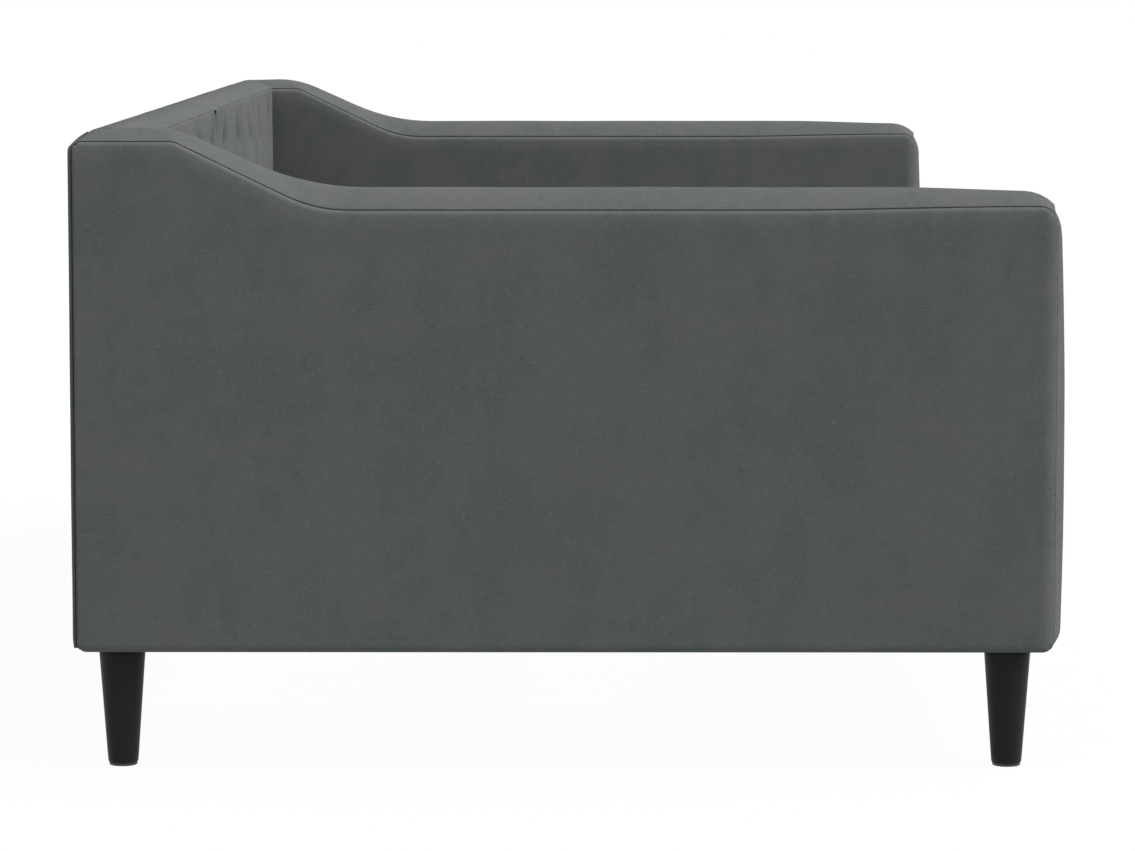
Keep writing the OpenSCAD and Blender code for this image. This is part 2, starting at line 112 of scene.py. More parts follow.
camera = bpy.data.objects.new("Camera", bpy.data.cameras.new("Camera"))
camera.data.lens = camera_lens
camera.data.clip_end = 200
camera.location = (cad_low.x - camera_distance, camera_side, camera_height)
looking = Vector((1, math.tan(camera_turn), -math.tan(camera_pitch)))
camera.rotation_euler = looking.to_track_quat("-Z", "Y").to_euler()
bpy.context.scene.collection.objects.link(camera)
bpy.context.scene.camera = camera
bpy.context.scene.view_settings.view_transform = "Standard"

bpy.ops.mesh.primitive_plane_add(size=floor_size)
floor = bpy.context.object
floor.name = "Floor"
floor_paint, _, floor_shader = start_material("Matt_white_studio_floor", Roughness=0.9)
floor_shader.inputs["Base Color"].default_value = linear("#262626")
floor_shader.inputs["Specular IOR Level"].default_value = 0.0
floor_shader.inputs["Emission Color"].default_value = linear("#ffffff")
floor_shader.inputs["Emission Strength"].default_value = floor_glow
floor.data.materials.append(floor_paint)

sky = bpy.data.worlds.new("Even_sky")
sky.use_nodes = True
sky.node_tree.nodes["Background"].inputs["Color"].default_value = linear("#ffffff")
sky.node_tree.nodes["Background"].inputs["Strength"].default_value = sky_strength
bpy.context.scene.world = sky

lamp = bpy.data.objects.new("Soft_box", bpy.data.lights.new("Soft_box", "SUN"))
lamp.data.energy = lamp_strength
lamp.data.angle = lamp_spread
lamp.data.color = linear("#fff6f7")[:3]
lamp.rotation_euler = lamp_from.to_track_quat("Z", "Y").to_euler()
bpy.context.scene.collection.objects.link(lamp)

# ------------------------------------------------------------------ Upholstery cloth
# A dark grey linen-look chenille, woven in plain weave from uneven yarn: warm grey warp with
# greenish weft, so it clouds slightly, and thick places in the yarn show as short light dashes.

thread_pitch = 1.3                      # mm between threads
thread_drift = 1.6                      # mm that a thread wanders to the side
slub_thick, slub_long = 2.0, 9.0        # mm, size of a thick place in the yarn
thick_from, thick_full = 0.62, 0.75     # unevenness of the yarn where a thick place starts, and is full
thin_from, thin_full = 0.37, 0.25       # and the same for a thin place
slub_faint, slub_plain = 0.20, 0.32     # how much these lighten or darken the grey patches and the green
patch_short, patch_long = 75.0, 170.0   # mm, size of the patches where one yarn colour shows more
weft_share = 0.6                        # of the weft in the patches, where the warp has 1
yarn_stray = 0.28                       # how far single yarns stray from one patch into the next
green_from, green_full = 1.06, 1.125    # where a patch starts to turn green, and is green
warm_from, warm_full = 0.03, 0.12       # the same for the warmer of the two greys
weave_tone = 0.03                       # how much lighter the crossings are
weave_height, slub_height = 0.04, 0.05  # mm

cloth, tree, shader = start_material("Linen_look_chenille_woven", Roughness=0.88)
shader.inputs["Sheen Weight"].default_value = 0.012      # short pile, pale at a glancing angle
shader.inputs["Sheen Roughness"].default_value = 0.45
shader.inputs["Specular IOR Level"].default_value = 0.0
laid = add(tree, "ShaderNodeUVMap", uv_map="cloth")
in_mm = add(tree, "ShaderNodeVectorMath", {0: laid.outputs[0], "Scale": 1000.0}, operation="SCALE")
drift = add(tree, "ShaderNodeTexNoise", {"Vector": in_mm.outputs[0], "Scale": 0.03, "Detail": 1.0})
drifted = add(tree, "ShaderNodeVectorMath",
              {0: drift.outputs["Color"], 1: (thread_drift, thread_drift, 0), 2: in_mm.outputs[0]},
              operation="MULTIPLY_ADD")
axes = add(tree, "ShaderNodeSeparateXYZ", {0: drifted.outputs[0]})
turns = 2 * math.pi / thread_pitch
waves = []
for axis in ("X", "Y"):
    angle = add(tree, "ShaderNodeMath", {0: axes.outputs[axis], 1: turns}, operation="MULTIPLY")
    waves.append(add(tree, "ShaderNodeMath", {0: angle.outputs[0]}, operation="SINE"))
weave = add(tree, "ShaderNodeMath", {0: waves[0].outputs[0], 1: waves[1].outputs[0]}, operation="MULTIPLY")

slubs, patches, yarns = [], [], []
for long_way in ((0, 1), (1, 0)):
    size = [(slub_thick, slub_long)[k] for k in long_way]
    stretched = add(tree, "ShaderNodeVectorMath",
                    {0: drifted.outputs[0], 1: (1 / size[0], 1 / size[1], 1)}, operation="MULTIPLY")
    yarn = add(tree, "ShaderNodeTexNoise", {"Vector": stretched.outputs[0], "Scale": 1.0, "Detail": 2.0})
    yarns.append(yarn)
    thick = add(tree, "ShaderNodeMapRange",
                {"Value": yarn.outputs["Fac"], "From Min": thick_from, "From Max": thick_full})
    thin = add(tree, "ShaderNodeMapRange",
               {"Value": yarn.outputs["Fac"], "From Min": thin_from, "From Max": thin_full, "To Max": -1.0})
    slubs.append(add(tree, "ShaderNodeMath", {0: thick.outputs[0], 1: thin.outputs[0]}, operation="ADD"))
    size = [(patch_short, patch_long)[k] for k in long_way]
    spread_out = add(tree, "ShaderNodeVectorMath",
                     {0: in_mm.outputs[0], 1: (1 / size[0], 1 / size[1], 1)}, operation="MULTIPLY")
    patches.append(add(tree, "ShaderNodeTexNoise", {"Vector": spread_out.outputs[0], "Scale": 1.0,
                                                    "Detail": 5.0, "Roughness": 0.79}))
slub = add(tree, "ShaderNodeMath", {0: slubs[0].outputs[0], 1: slubs[1].outputs[0]}, operation="ADD")

patch = add(tree, "ShaderNodeMath", {0: patches[1].outputs["Fac"], 1: weft_share}, operation="MULTIPLY")
patch = add(tree, "ShaderNodeMath", {0: patches[0].outputs["Fac"], 1: 1.0, 2: patch.outputs[0]},
            operation="MULTIPLY_ADD")
for yarn in yarns:
    patch = add(tree, "ShaderNodeMath", {0: yarn.outputs["Fac"], 1: yarn_stray, 2: patch.outputs[0]},
                operation="MULTIPLY_ADD")
green = add(tree, "ShaderNodeMapRange",
            {"Value": patch.outputs[0], "From Min": green_from, "From Max": green_full})
apart = add(tree, "ShaderNodeMath", {0: patches[0].outputs["Fac"], 1: patches[1].outputs["Fac"]},
            operation="SUBTRACT")
warm = add(tree, "ShaderNodeMapRange",
           {"Value": apart.outputs[0], "From Min": warm_from, "From Max": warm_full})
ground = add(tree, "ShaderNodeMix", {"Factor": warm.outputs[0], 6: linear("#484b4b"), 7: linear("#494b4a")},
             data_type="RGBA")
ground = add(tree, "ShaderNodeMix", {"Factor": green.outputs[0], 6: ground.outputs[2], 7: linear("#434947")},
             data_type="RGBA")
plainness = add(tree, "ShaderNodeMapRange",
                {"Value": green.outputs[0], "To Min": slub_faint, "To Max": slub_plain})
grey = add(tree, "ShaderNodeMath", {0: slub.outputs[0], 1: plainness.outputs[0], 2: 1.0},
           operation="MULTIPLY_ADD")
crossings = add(tree, "ShaderNodeMath", {0: weave.outputs[0], 1: weave_tone, 2: grey.outputs[0]},
                operation="MULTIPLY_ADD")
lights = add(tree, "ShaderNodeVectorMath", {0: ground.outputs[2], "Scale": crossings.outputs[0]},
             operation="SCALE")
tree.links.new(lights.outputs[0], shader.inputs["Base Color"])

relief = add(tree, "ShaderNodeMath", {0: weave.outputs[0], 1: weave_height}, operation="MULTIPLY")
relief = add(tree, "ShaderNodeMath", {0: slub.outputs[0], 1: slub_height, 2: relief.outputs[0]},
             operation="MULTIPLY_ADD")
bump = add(tree, "ShaderNodeBump", {"Height": relief.outputs[0], "Distance": 0.001, "Strength": 1.0})
tree.links.new(bump.outputs[0], shader.inputs["Normal"])

# ------------------------------------------------------------------ Side panels of the arms
# Four flat panels of cloth over 11 mm of foam on hardboard, one on each face of each arm.
# Each is sewn to the padded band all round, so its edge rounds over into the seam.

arm_low, arm_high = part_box("left_arm_outer_pad")
inner_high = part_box("left_arm_inner_pad")[1]
arm_middle = (inner_high.x + arm_low.x) / 2
side_pad = arm_high.x - arm_low.x
slope_start, slope_end = 0.110, 0.258   # from the rear face to the two bends of the sloping seam
arm_seam = 0.594                        # height of the seam along the arm
rear_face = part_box("left_back_rear_panel")[1].y
seam_depth = 0.006                      # how far the seam lies behind the face of a panel
seam_slit = 0.0002                      # half the width of the slit between two pieces sewn together
seam_turn = 0.0021                      # how far the cloth of both dives into that slit
seam_lip = 0.0006                       # how sharply it rounds over there
front_pull, rear_pull = 0.25, 0.4       # share of that dive along the front and along the rear
lip_share, lip_soft = 0.50, 0.004       # the sharp part of the rounding under the top seam, and its width
top_soft = 0.022                        # width of the rest of that rounding
front_soft = 0.015                      # width of the rounding along the front
wrap_soft, wrap_share = 0.0022, 0.3     # along the rear, where it is shallower
under_soft = 0.007                      # and where the cloth is pulled round under the frame
hem = 0.002                             # how far the turned cloth hangs below the frame
rear_slit = 0.0003                      # between a side panel and the rear panel behind it
panel_corners = (0.012, 0.010, 0.018, 0.009)  # radii: front low, rear low, front top, rear top
arc_points = 9                          # in each rounded corner of an outline
cloth_step = 0.0055                     # spacing of the mesh where the panel is flat
ripple_long, ripple_wide = 0.010, 0.030  # size of a ripple along a seam and away from it
ripple_reach = 0.010                    # over which the ripples beside a seam die away
panel_bow = 0.0011                      # how far the middle of a panel stands out past its edges
panel_wave, panel_ripple = 0.00035, 0.00055  # depth of the broad waves and of the ripples
spine_reach, spine_height = 0.26, 0.36  # the level line inside a panel that its rims are drawn towards
edge_lines = (0, 0.00025, 0.0006, 0.0011, 0.0018, 0.003, 0.005, 0.0075, 0.0105, 0.014, 0.0185, 0.024)


def unit(v):
    return v / np.linalg.norm(v)


def rounded(corners, steps):
    """Closed anticlockwise outline through corners (y, z, radius): its points and outward normals.
    steps says how many points each straight side before a corner gets."""
    points, normals = [], []
    at = [np.array(c[:2], float) for c in corners]
    count = len(corners)
    arcs = []
    for i in range(count):
        before, after = unit(at[i] - at[i - 1]), unit(at[(i + 1) % count] - at[i])
        turn = math.atan2(before[0] * after[1] - before[1] * after[0], before @ after)
        out = np.array([before[1], -before[0]])
        reach = corners[i][2] * math.copysign(1, turn)
        centre = at[i] - before * corners[i][2] * abs(math.tan(turn / 2)) - out * reach
        angles = math.atan2(out[1], out[0]) + turn * np.linspace(0, 1, arc_points)
        outs = np.stack([np.cos(angles), np.sin(angles)], 1)
        arcs.append((centre + outs * reach, outs))
    for i in range(count):
        start, end = arcs[i - 1][0][-1], arcs[i][0][0]
        share = np.linspace(0, 1, steps[i] + 1)[1:-1, None]
        points += list(start + (end - start) * share) + list(arcs[i][0])
        normals += [arcs[i][1][0]] * len(share) + list(arcs[i][1])
    return np.array(points), np.array(normals)


def wander(points, size, seed):
    """Smooth noise from -1 to 1 at each point, with features of that size in metres."""
    return np.array([noise.noise(Vector(p) / size + Vector((seed, seed * 1.7, -seed))) for p in points])


def waves_over(across, up, size, seed):
    """The same noise over two coordinates, in the shape of the first."""
    flat = [np.ravel(across), np.broadcast_to(up, np.shape(across)).ravel(), np.zeros(np.size(across))]
    return wander(np.column_stack(flat), size, seed).reshape(np.shape(across))


def ease(t):
    """0 up to t = 0, 1 from t = 1, smooth between."""
    t = np.clip(t, 0, 1)
    return t * t * (3 - 2 * t)


front_seam = arm_low.y
body_low = arm_low.z
body_rear = arm_high.y
seam_steps = [84, 188, 96, 18, 30, 136]
seam_corners = [(front_seam, body_low, 0.012), (body_rear, body_low, 0.010), (body_rear, arm_high.z, 0.009),
                (rear_face - slope_start, arm_high.z, 0.015), (rear_face - slope_end, arm_seam, 0.150),
                (front_seam, arm_seam, 0.018)]
seam_line, seam_out = rounded(seam_corners, seam_steps)


def seam_lift(y):
    """The seam along the top of an arm rises a little towards the front."""
    return 0.004 * ease((front_seam + 0.30 - y) / 0.28)


def panel_top(y):
    """Height of the upper edge of an arm panel at y, just under the seam."""
    top = [p for p in seam_line if p[1] > arm_seam - 0.0005]
    top.sort(key=lambda p: p[0])
    ys, zs = np.array([p[0] for p in top]), np.array([p[1] for p in top])
    inside = (ys > front_seam + 0.02) & (ys < body_rear - 0.018)
    return np.interp(y, ys[inside], zs[inside]) + seam_lift(y) - seam_slit


def lines_across(low, high, step):
    """Grid lines from low to high, close together along both edges."""
    edges = np.array(edge_lines)
    count = max(2, round((high - low - 2 * edges[-1]) / step))
    middle = np.linspace(low + edges[-1], high - edges[-1], count + 1)[1:-1]
    return np.concatenate([low + edges, middle, (high - edges)[::-1]])


def grid_between(left, right, low, top, radii, step=cloth_step):
    """Grid over the space from left to right and low to top(u), with its four corners rounded.
    Returns across, up, and how far each point lies from the left, right, low and top edges.
    radii: low left, low right, top left, top right."""
    across = lines_across(left, right, step)
    highest = float(np.max(top(across)))
    share = lines_across(low, highest, step)
    n = len(edge_lines)
    middle = (share[n:-n] - share[n - 1]) / (share[-n] - share[n - 1])
    tops = top(across)
    up = np.empty((len(share), len(across)))
    up[:n] = low + np.array(edge_lines)[:, None]
    up[-n:] = tops - np.array(edge_lines)[::-1, None]
    up[n:-n] = (low + edge_lines[-1]) * (1 - middle[:, None]) + (tops - edge_lines[-1]) * middle[:, None]
    across = np.broadcast_to(across, up.shape).copy()
    tops = np.broadcast_to(tops, up.shape)
    inward = np.array([across - left, right - across, up - low, tops - up])
    for radius, edge_u, sign_u, edge_v, sign_v in (
            (radii[0], left, 1, low, 1), (radii[1], right, -1, low, 1),
            (radii[2], left, 1, tops, -1), (radii[3], right, -1, tops, -1)):
        a, b = (across - edge_u) * sign_u, (up - edge_v) * sign_v
        near = (a < radius) & (b < radius)
        va, vb = radius - a, radius - b
        shrink = np.where(near, np.maximum(va, vb) / np.maximum(np.hypot(va, vb), 1e-9), 1.0)
        across = np.where(near, edge_u + sign_u * (radius - va * shrink), across)
        up = np.where(near, edge_v + sign_v * (radius - vb * shrink), up)
    return across, up, inward


def puckers(across, up, inward, seed):
    """Short ripples that run off a sewn edge and die away into the panel."""
    sideways = np.minimum(across - across.min(), across.max() - across)
    along = np.where(sideways < inward + 0.004, up, across)
    ripple = waves_over(along / ripple_long, inward / ripple_wide, 1.0, seed)
    return ripple * np.exp(-inward / ripple_reach) * ease(inward / 0.002)


def round_the_edge(rows, columns):
    """Indices of the outer points of a grid, in order round it."""
    index = np.arange(rows * columns).reshape(rows, columns)
    return np.concatenate([index[0, :-1], index[:-1, -1], index[-1, :0:-1], index[:0:-1, 0]])


def grid_faces(index):
    """The four-sided faces between neighbours in a grid of point numbers."""
    return list(np.stack([index[:-1, :-1], index[:-1, 1:], index[1:, 1:], index[1:, :-1]], -1).reshape(-1, 4))


def new_piece(name, points, faces, corner_uv, finish):
    """A smooth mesh object with its cloth coordinates in metres, its faces turned outwards."""
    mesh = bpy.data.meshes.new(name)
    mesh.from_pydata([tuple(p) for p in points], [], [tuple(int(i) for i in f) for f in faces])
    mesh.uv_layers.new(name="cloth").data.foreach_set("uv", np.asarray(corner_uv, np.float32).ravel())
    work = bmesh.new()
    work.from_mesh(mesh)
    bmesh.ops.triangulate(work, faces=[f for f in work.faces if len(f.verts) > 4])
    bmesh.ops.recalc_face_normals(work, faces=work.faces)
    work.to_mesh(mesh)
    work.free()
    mesh.shade_smooth()
    mesh.materials.append(finish)
    piece = bpy.data.objects.new(name, mesh)
    bpy.context.scene.collection.objects.link(piece)
    return piece


def grid_piece(name, face, uv, rims, finish):
    """A closed pad: a grid of points for its face, then rims that turn its edge back to a flat back."""
    rows, columns = face.shape[:2]
    edge = round_the_edge(rows, columns)
    points = [face.reshape(-1, 3)]
    uvs = [uv.reshape(-1, 2)]
    index = np.arange(rows * columns).reshape(rows, columns)
    faces = grid_faces(index)
    ring, total = edge, rows * columns
    for rim in rims:
        moved = rim(face.reshape(-1, 3)[edge])
        points.append(moved)
        uvs.append(uv.reshape(-1, 2)[edge])
        new = np.arange(total, total + len(edge))
        faces += list(np.stack([ring, np.roll(ring, -1), np.roll(new, -1), new], -1))
        ring, total = new, total + len(edge)
    faces.append(ring)
    uvs = np.concatenate(uvs)
    corner_uv = np.concatenate([uvs[list(f)] for f in faces])
    return new_piece(name, np.concatenate(points), faces, corner_uv, finish)


def toward(points, spine_low, spine_high, height, by):
    """Outline points in (y, z), drawn in by that distance towards a level line inside them."""
    target = np.stack([np.clip(points[:, 0], spine_low, spine_high), np.full(len(points), height)], 1)
    return points + (target - points) * (by / 0.24)


def side_panel(name, face_x, inwards, seed):
    """One panel whose flat face is at face_x; its foam lies on the inwards side of it (1 or -1 along X)."""
    y, z, edges = grid_between(front_seam + seam_slit, body_rear - rear_slit, body_low - hem, panel_top,
                               panel_corners)
    inward = edges.min(axis=0)
    slack = np.clip(1 - edges / np.array([front_soft, wrap_soft, under_soft, top_soft])[:, None, None], 0, 1)
    lip = np.clip(1 - edges[3] / lip_soft, 0, 1)
    sunk = np.max([slack[0] ** 2.2, wrap_share * slack[1] ** 2, slack[2] ** 2,
                   lip_share * lip ** 2 + (1 - lip_share) * slack[3] ** 2], axis=0) * seam_depth
    pull = np.exp(-edges / seam_lip) * np.array([front_pull, rear_pull, 1, 1])[:, None, None]
    sunk += seam_turn * pull.max(axis=0)
    sunk -= panel_bow * ease(inward / 0.10)
    sunk += panel_wave * waves_over(y, z, 0.16, seed) * ease(inward / 0.05)
    sunk += panel_ripple * puckers(y, z, inward, seed)
    face = np.stack([face_x + inwards * sunk, y, z], -1)
    uv = np.stack([-y * inwards + seed, z], -1)

    def rim(depth, drawn_in):
        def moved(points):
            line = toward(points[:, 1:], -spine_reach, spine_reach, spine_height, drawn_in)
            return np.column_stack([np.full(len(points), face_x + inwards * depth), line])
        return moved

    rims = [rim(seam_depth + seam_turn + 0.0004, 0.0), rim(side_pad - 0.0004, 0.001)]
    piece = grid_piece(name, face, uv, rims, cloth)
    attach(piece, "root")
    return piece


for which, mirror in (("left", 1), ("right", -1)):
    outer = side_panel(which + "_arm_outer_panel", mirror * arm_low.x, mirror, 3.1 + mirror)
    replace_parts(outer, which + "_arm_outer_pad")
    inner = side_panel(which + "_arm_inner_panel", mirror * inner_high.x, -mirror, 7.4 + mirror)
    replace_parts(inner, which + "_arm_inner_pad")

# ------------------------------------------------------------------ Padded bands of the arms
# One long strip of cloth over foam runs round each arm: up its front, along its top, up the
# slope and over the end of the back. It is sewn to both side panels and crowned between them.

band_low, band_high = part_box("left_arm_band")
band_half = (band_high.x - band_low.x) / 2
arm_top = 0.617
band_turn = 0.012                       # cloth and foam turned in behind each seam
band_inside = ((0.94, band_turn / 2), (0.94, band_turn), (0.5, band_turn), (0.06, band_turn),
               (0.06, band_turn / 2))
band_wave, band_ripple_reach = 0.0005, 0.008  # depth of the waves, and how far the ripples run
band_edge = np.array([0, 0.00025, 0.0006, 0.0011, 0.0018, 0.003, 0.005, 0.008]) / (2 * band_half)
band_shares = np.concatenate([band_edge, np.linspace(0.15, 0.85, 18), 1 - band_edge[::-1]])
band_crown = 1.6                        # 2 would be an arc from seam to seam, 1 a ridge
front_droop, rear_droop = 0.004, 0.0015  # how far the padded tops sink towards the front and the rear
front_bow = 0.0035                      # how far the front of a band falls back above and below its middle
crest_corners = [(band_low.y, body_low, 0.020), (body_rear, body_low, 0.010), (body_rear, band_high.z, 0.028),
                 (rear_face - slope_start + 0.003, band_high.z, 0.140),
                 (rear_face - slope_end + 0.011, arm_top, 0.285), (band_low.y, arm_top, 0.046)]
crest_line = rounded(crest_corners, seam_steps)[0]


def length_round(loop):
    """How far along a closed line each of its points lies, and its whole length last."""
    sides = np.linalg.norm(np.diff(loop, axis=0, append=loop[:1]), axis=1)
    return np.concatenate([[0], np.cumsum(sides)])


def tube_faces(rings, around, first=0):
    """Four-sided faces between rings of points that each close on themselves."""
    return [(a + c, a + d, a + d + around, a + c + around)
            for a in range(first, first + (rings - 1) * around, around)
            for c, d in zip(range(around), [*range(1, around), 0])]


def tube_uv(places, along):
    """Cloth coordinates for the corners of those faces: the place of each ring, and how far round it."""
    return [corner for p, q in zip(places, places[1:]) for a, b in zip(along, along[1:])
            for corner in ((p, a), (p, b), (q, b), (q, a))]


def lifted_seam():
    """The seam of an arm, risen towards the front along its top."""
    seam = seam_line.copy()
    on_top = (seam_out[:, 1] > 0.5) & (seam[:, 1] < arm_seam + 0.03)
    seam[:, 1] += np.where(on_top, seam_lift(seam[:, 0]), 0)
    return seam


def arm_band(name, middle_x, seed):
    """The whole band as one closed padded ring, sewn along both edges."""
    seam = lifted_seam()
    crest = crest_line.copy()
    crest[:, 1] -= front_droop * ease((-crest[:, 0] - 0.33) / 0.18) * ease((crest[:, 1] - 0.45) / 0.1)
    crest[:, 1] -= rear_droop * ease((crest[:, 0] - 0.43) / 0.07) * ease((crest[:, 1] - 0.62) / 0.04)
    bow = front_bow * np.minimum(((crest[:, 1] - 0.32) / 0.21) ** 2, 1.4)
    crest[:, 0] += np.where(crest[:, 0] < front_seam, bow, 0)
    along = length_round(crest)
    pull = np.where(seam[:, 0] < front_seam + 0.004, front_pull, 1)
    rows, row_v = [], []
    for share in band_shares:
        rise = 1 - abs(2 * share - 1) ** band_crown
        edge = min(share, 1 - share) * 2 * band_half
        line = seam + (crest - seam) * rise
        other_seam = 9 if share > 0.5 else 0  # the two seams ripple differently
        ripple = waves_over(along[:-1] / ripple_long, edge / ripple_wide + other_seam, 1.0, seed)
        ripple = ripple * math.exp(-edge / band_ripple_reach) * min(1, edge / 0.002)
        broad = waves_over(along[:-1], share * 0.3, 0.13, seed)
        lift = band_wave * ripple + band_wave * broad * rise + seam_slit * (1 - rise)
        line = line + seam_out * lift[:, None]
        dive = pull * seam_turn * math.exp(-edge / seam_lip) * math.copysign(1, 0.5 - share)
        across = middle_x + (2 * share - 1) * band_half + dive
        rows.append(np.column_stack([np.full(len(line), across), line]))
        row_v.append(share * 2 * band_half)
    for share, depth in band_inside:
        line = seam - seam_out * depth
        rows.append(np.column_stack([np.full(len(line), middle_x + (2 * share - 1) * band_half), line]))
        row_v.append(row_v[-1] + 0.01)
    row_v.append(row_v[-1] + 0.01)
    grid = np.array(rows)
    count, around = grid.shape[:2]
    faces = [[i % (count * around) for i in face] for face in tube_faces(count + 1, around)]
    piece = new_piece(name, grid.reshape(-1, 3), faces, tube_uv(row_v, along + seed), cloth)
    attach(piece, "root")
    return piece


for which, mirror in (("left", 1), ("right", -1)):
    band = arm_band(which + "_arm_top_band", mirror * arm_middle, 11.3 + mirror)
    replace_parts(band, which + "_arm_band")

# ------------------------------------------------------------------ Front pads of the backrest
# Each half of the back has one sheet of cloth over 28 mm of foam. Ten buttons pull it back to
# the board behind, so the foam swells between them and the cloth draws into short folds.

pad_low, pad_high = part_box("left_back_front_pad")
button_low, button_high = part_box("left_back_buttons")
half = pad_high.x - pad_low.x
back_seam_y = 0.455
back_seam_z = 0.667
back_swell = 0.55 * (back_seam_y - pad_low.y)  # the cloth is drawn tighter than the foam's full height
button_r = 0.012
tuft_columns = 5
tuft_rows = (button_high.z - button_r, button_low.z + button_r)
tuft_pitch = half / tuft_columns
tufts = [(pad_low.x + (i + 0.5) * tuft_pitch, z) for z in tuft_rows for i in range(tuft_columns)]
seat_y = button_high.y                  # where a button's back lies
dimple_r = 0.017
star_folds, star_depth = 5, 0.20        # folds round a dimple, and how much they shape it
tuft_fold = 0.008                       # width of the folds from button to button
upright_depth, upright_vary = 0.030, 0.022  # of the upright ones, as a share of a button's depth
level_depth, level_reach = 0.09, 0.045  # of the level ones, and how far they run
fold_sizes = ((0.3, 0.012), (1.1, 0.014), (0.7, 0.008), (1.0, 0.012), (0.4, 0.012))  # size, reach
fold_height = 0.621                     # where the folds above the upper buttons end
pit_depth, trail_depth = 0.0034, 0.0008  # of such a fold at its end, and along it
sag_depth, sag_reach = 0.003, 0.02      # of the seam where the halves meet
pad_fade = 0.17                         # length over which the swell fades towards each end of a half
pad_step = 0.0075                       # spacing of the mesh
pad_wave, pad_ripple, crease_depth = 0.0005, 0.0006, 0.0006
pad_corners = (0.008, 0.008, 0.002, 0.008)  # radii: left low, right low, left top, right top
settle_pressure, settle_most = 4.0, 0.008  # of the cloth as it fills out, and how far it may move
held_edge = 0.010                       # the cloth is held this far in from its edges meanwhile
joint_step = 0.004                      # between the two halves where they meet
arm_fill = 0.007                        # how far the pads swell into the hollow beside the seam of an arm


def seam_sag(x):
    """How far the seam of a half is drawn down at distance x from the middle of the daybed,
    where the halves meet."""
    return sag_depth * np.exp(-(np.abs(x) / sag_reach) ** 1.3)


def pad_top(x):
    """Height of the upper edge of a front pad, just under its seam."""
    return back_seam_z - seam_slit - seam_sag(x)


def tufting(x, z):
    """How far the buttons draw the cloth back at each point, with the folds that run between them."""
    drawn = np.zeros(x.shape)
    for i, (bx, bz) in enumerate(tufts):
        dx, dz = x - bx, z - bz
        r = np.hypot(dx, dz)
        star = 1 + star_depth * np.cos(star_folds * np.arctan2(dz, dx) + i * 1.3) * ease(r / 0.03)
        dent = np.exp(-(np.maximum(r - button_r, 0) / (dimple_r * star)) ** 1.45)
        drawn = np.maximum(drawn, dent)
    low_row, high_row = min(tuft_rows), max(tuft_rows)
    for i, (bx, bz) in enumerate(tufts):
        lean = bx + 0.05 * (z - bz) * math.sin(i * 2.1)
        upright = (np.exp(-((x - lean) / tuft_fold) ** 2) * ease((z - low_row + 0.04) / 0.05)
                   * ease((high_row - 0.02 - z) / 0.05))
        level = np.exp(-((z - bz) / tuft_fold) ** 2) * np.exp(-np.abs(x - bx) / level_reach)
        drawn = np.maximum(drawn, (upright_depth + upright_vary * math.sin(i * 1.7)) * upright)
        drawn = np.maximum(drawn, level_depth * level)
    return drawn


def folds(x, z):
    """Depth of the short folds that rise from the upper buttons towards the seam, each of its own size."""
    high_row = max(tuft_rows)
    depth = np.zeros(x.shape)
    for i, (size, reach) in enumerate(fold_sizes):
        middle = pad_low.x + (i + 0.5) * tuft_pitch + 0.004 * math.sin(i * 2.3)
        height = fold_height + 0.003 * math.sin(i * 1.9 + 0.5)
        across = x - middle - 0.15 * (z - height) * math.cos(i * 1.7)
        pit = np.exp(-(across / 0.009) ** 2 - ((z - height) / reach) ** 2)
        trail = np.exp(-(across / 0.006) ** 2) * ease((z - high_row) / 0.02) * ease((height - z) / 0.02)
        depth = np.maximum(depth, size * (pit_depth * pit + trail_depth * trail))
    return depth


def creases(x, z, seed):
    """Short upright creases, from 0 to 1, where the cloth is drawn in at half height between the buttons."""
    warp = 0.010 * waves_over(x, z * 2, 0.09, seed + 3)
    fine = waves_over((x + warp) / 0.017, z / 0.075, 1.0, seed)
    where = waves_over(x / 0.11, z / 0.16, 1.0, seed + 8)
    return ease((fine - 0.05) / 0.35) * ease((where + 0.15) / 0.4)


def settle(piece, held, pressure, most, frames=20):
    """Lets the cloth of a closed pad fill out under a little pressure, while the held points stay."""
    scene = bpy.context.scene
    group = piece.vertex_groups.new(name="held")
    group.add([int(i) for i in held], 1.0, "REPLACE")
    start = np.array([v.co for v in piece.data.vertices])
    swell = piece.modifiers.new("Cloth", "CLOTH")
    swell.settings.vertex_group_mass = "held"
    swell.settings.quality = 5
    swell.settings.mass = 0.3
    swell.settings.tension_stiffness = 12
    swell.settings.compression_stiffness = 8
    swell.settings.shear_stiffness = 4
    swell.settings.bending_stiffness = 0.4
    swell.settings.use_pressure = True
    swell.settings.uniform_pressure_force = pressure
    swell.settings.effector_weights.gravity = 0
    swell.collision_settings.use_collision = False
    swell.point_cache.frame_start = 1
    swell.point_cache.frame_end = frames
    for step in range(1, frames + 1):
        scene.frame_set(step)
    settled = piece.evaluated_get(bpy.context.evaluated_depsgraph_get())
    moved = np.array([v.co for v in settled.data.vertices]) - start
    length = np.linalg.norm(moved, axis=1, keepdims=True)
    moved *= np.minimum(1, most / np.maximum(length, 1e-9))
    piece.modifiers.remove(swell)
    piece.vertex_groups.clear()
    piece.data.vertices.foreach_set("co", (start + moved).ravel())
    piece.data.update()
    scene.frame_set(1)


def finer(piece):
    """One level of subdivision, applied."""
    smooth = piece.modifiers.new("Finer", "SUBSURF")
    smooth.levels = smooth.render_levels = 1
    mesh = bpy.data.meshes.new_from_object(piece.evaluated_get(bpy.context.evaluated_depsgraph_get()))
    piece.modifiers.remove(smooth)
    piece.data = mesh


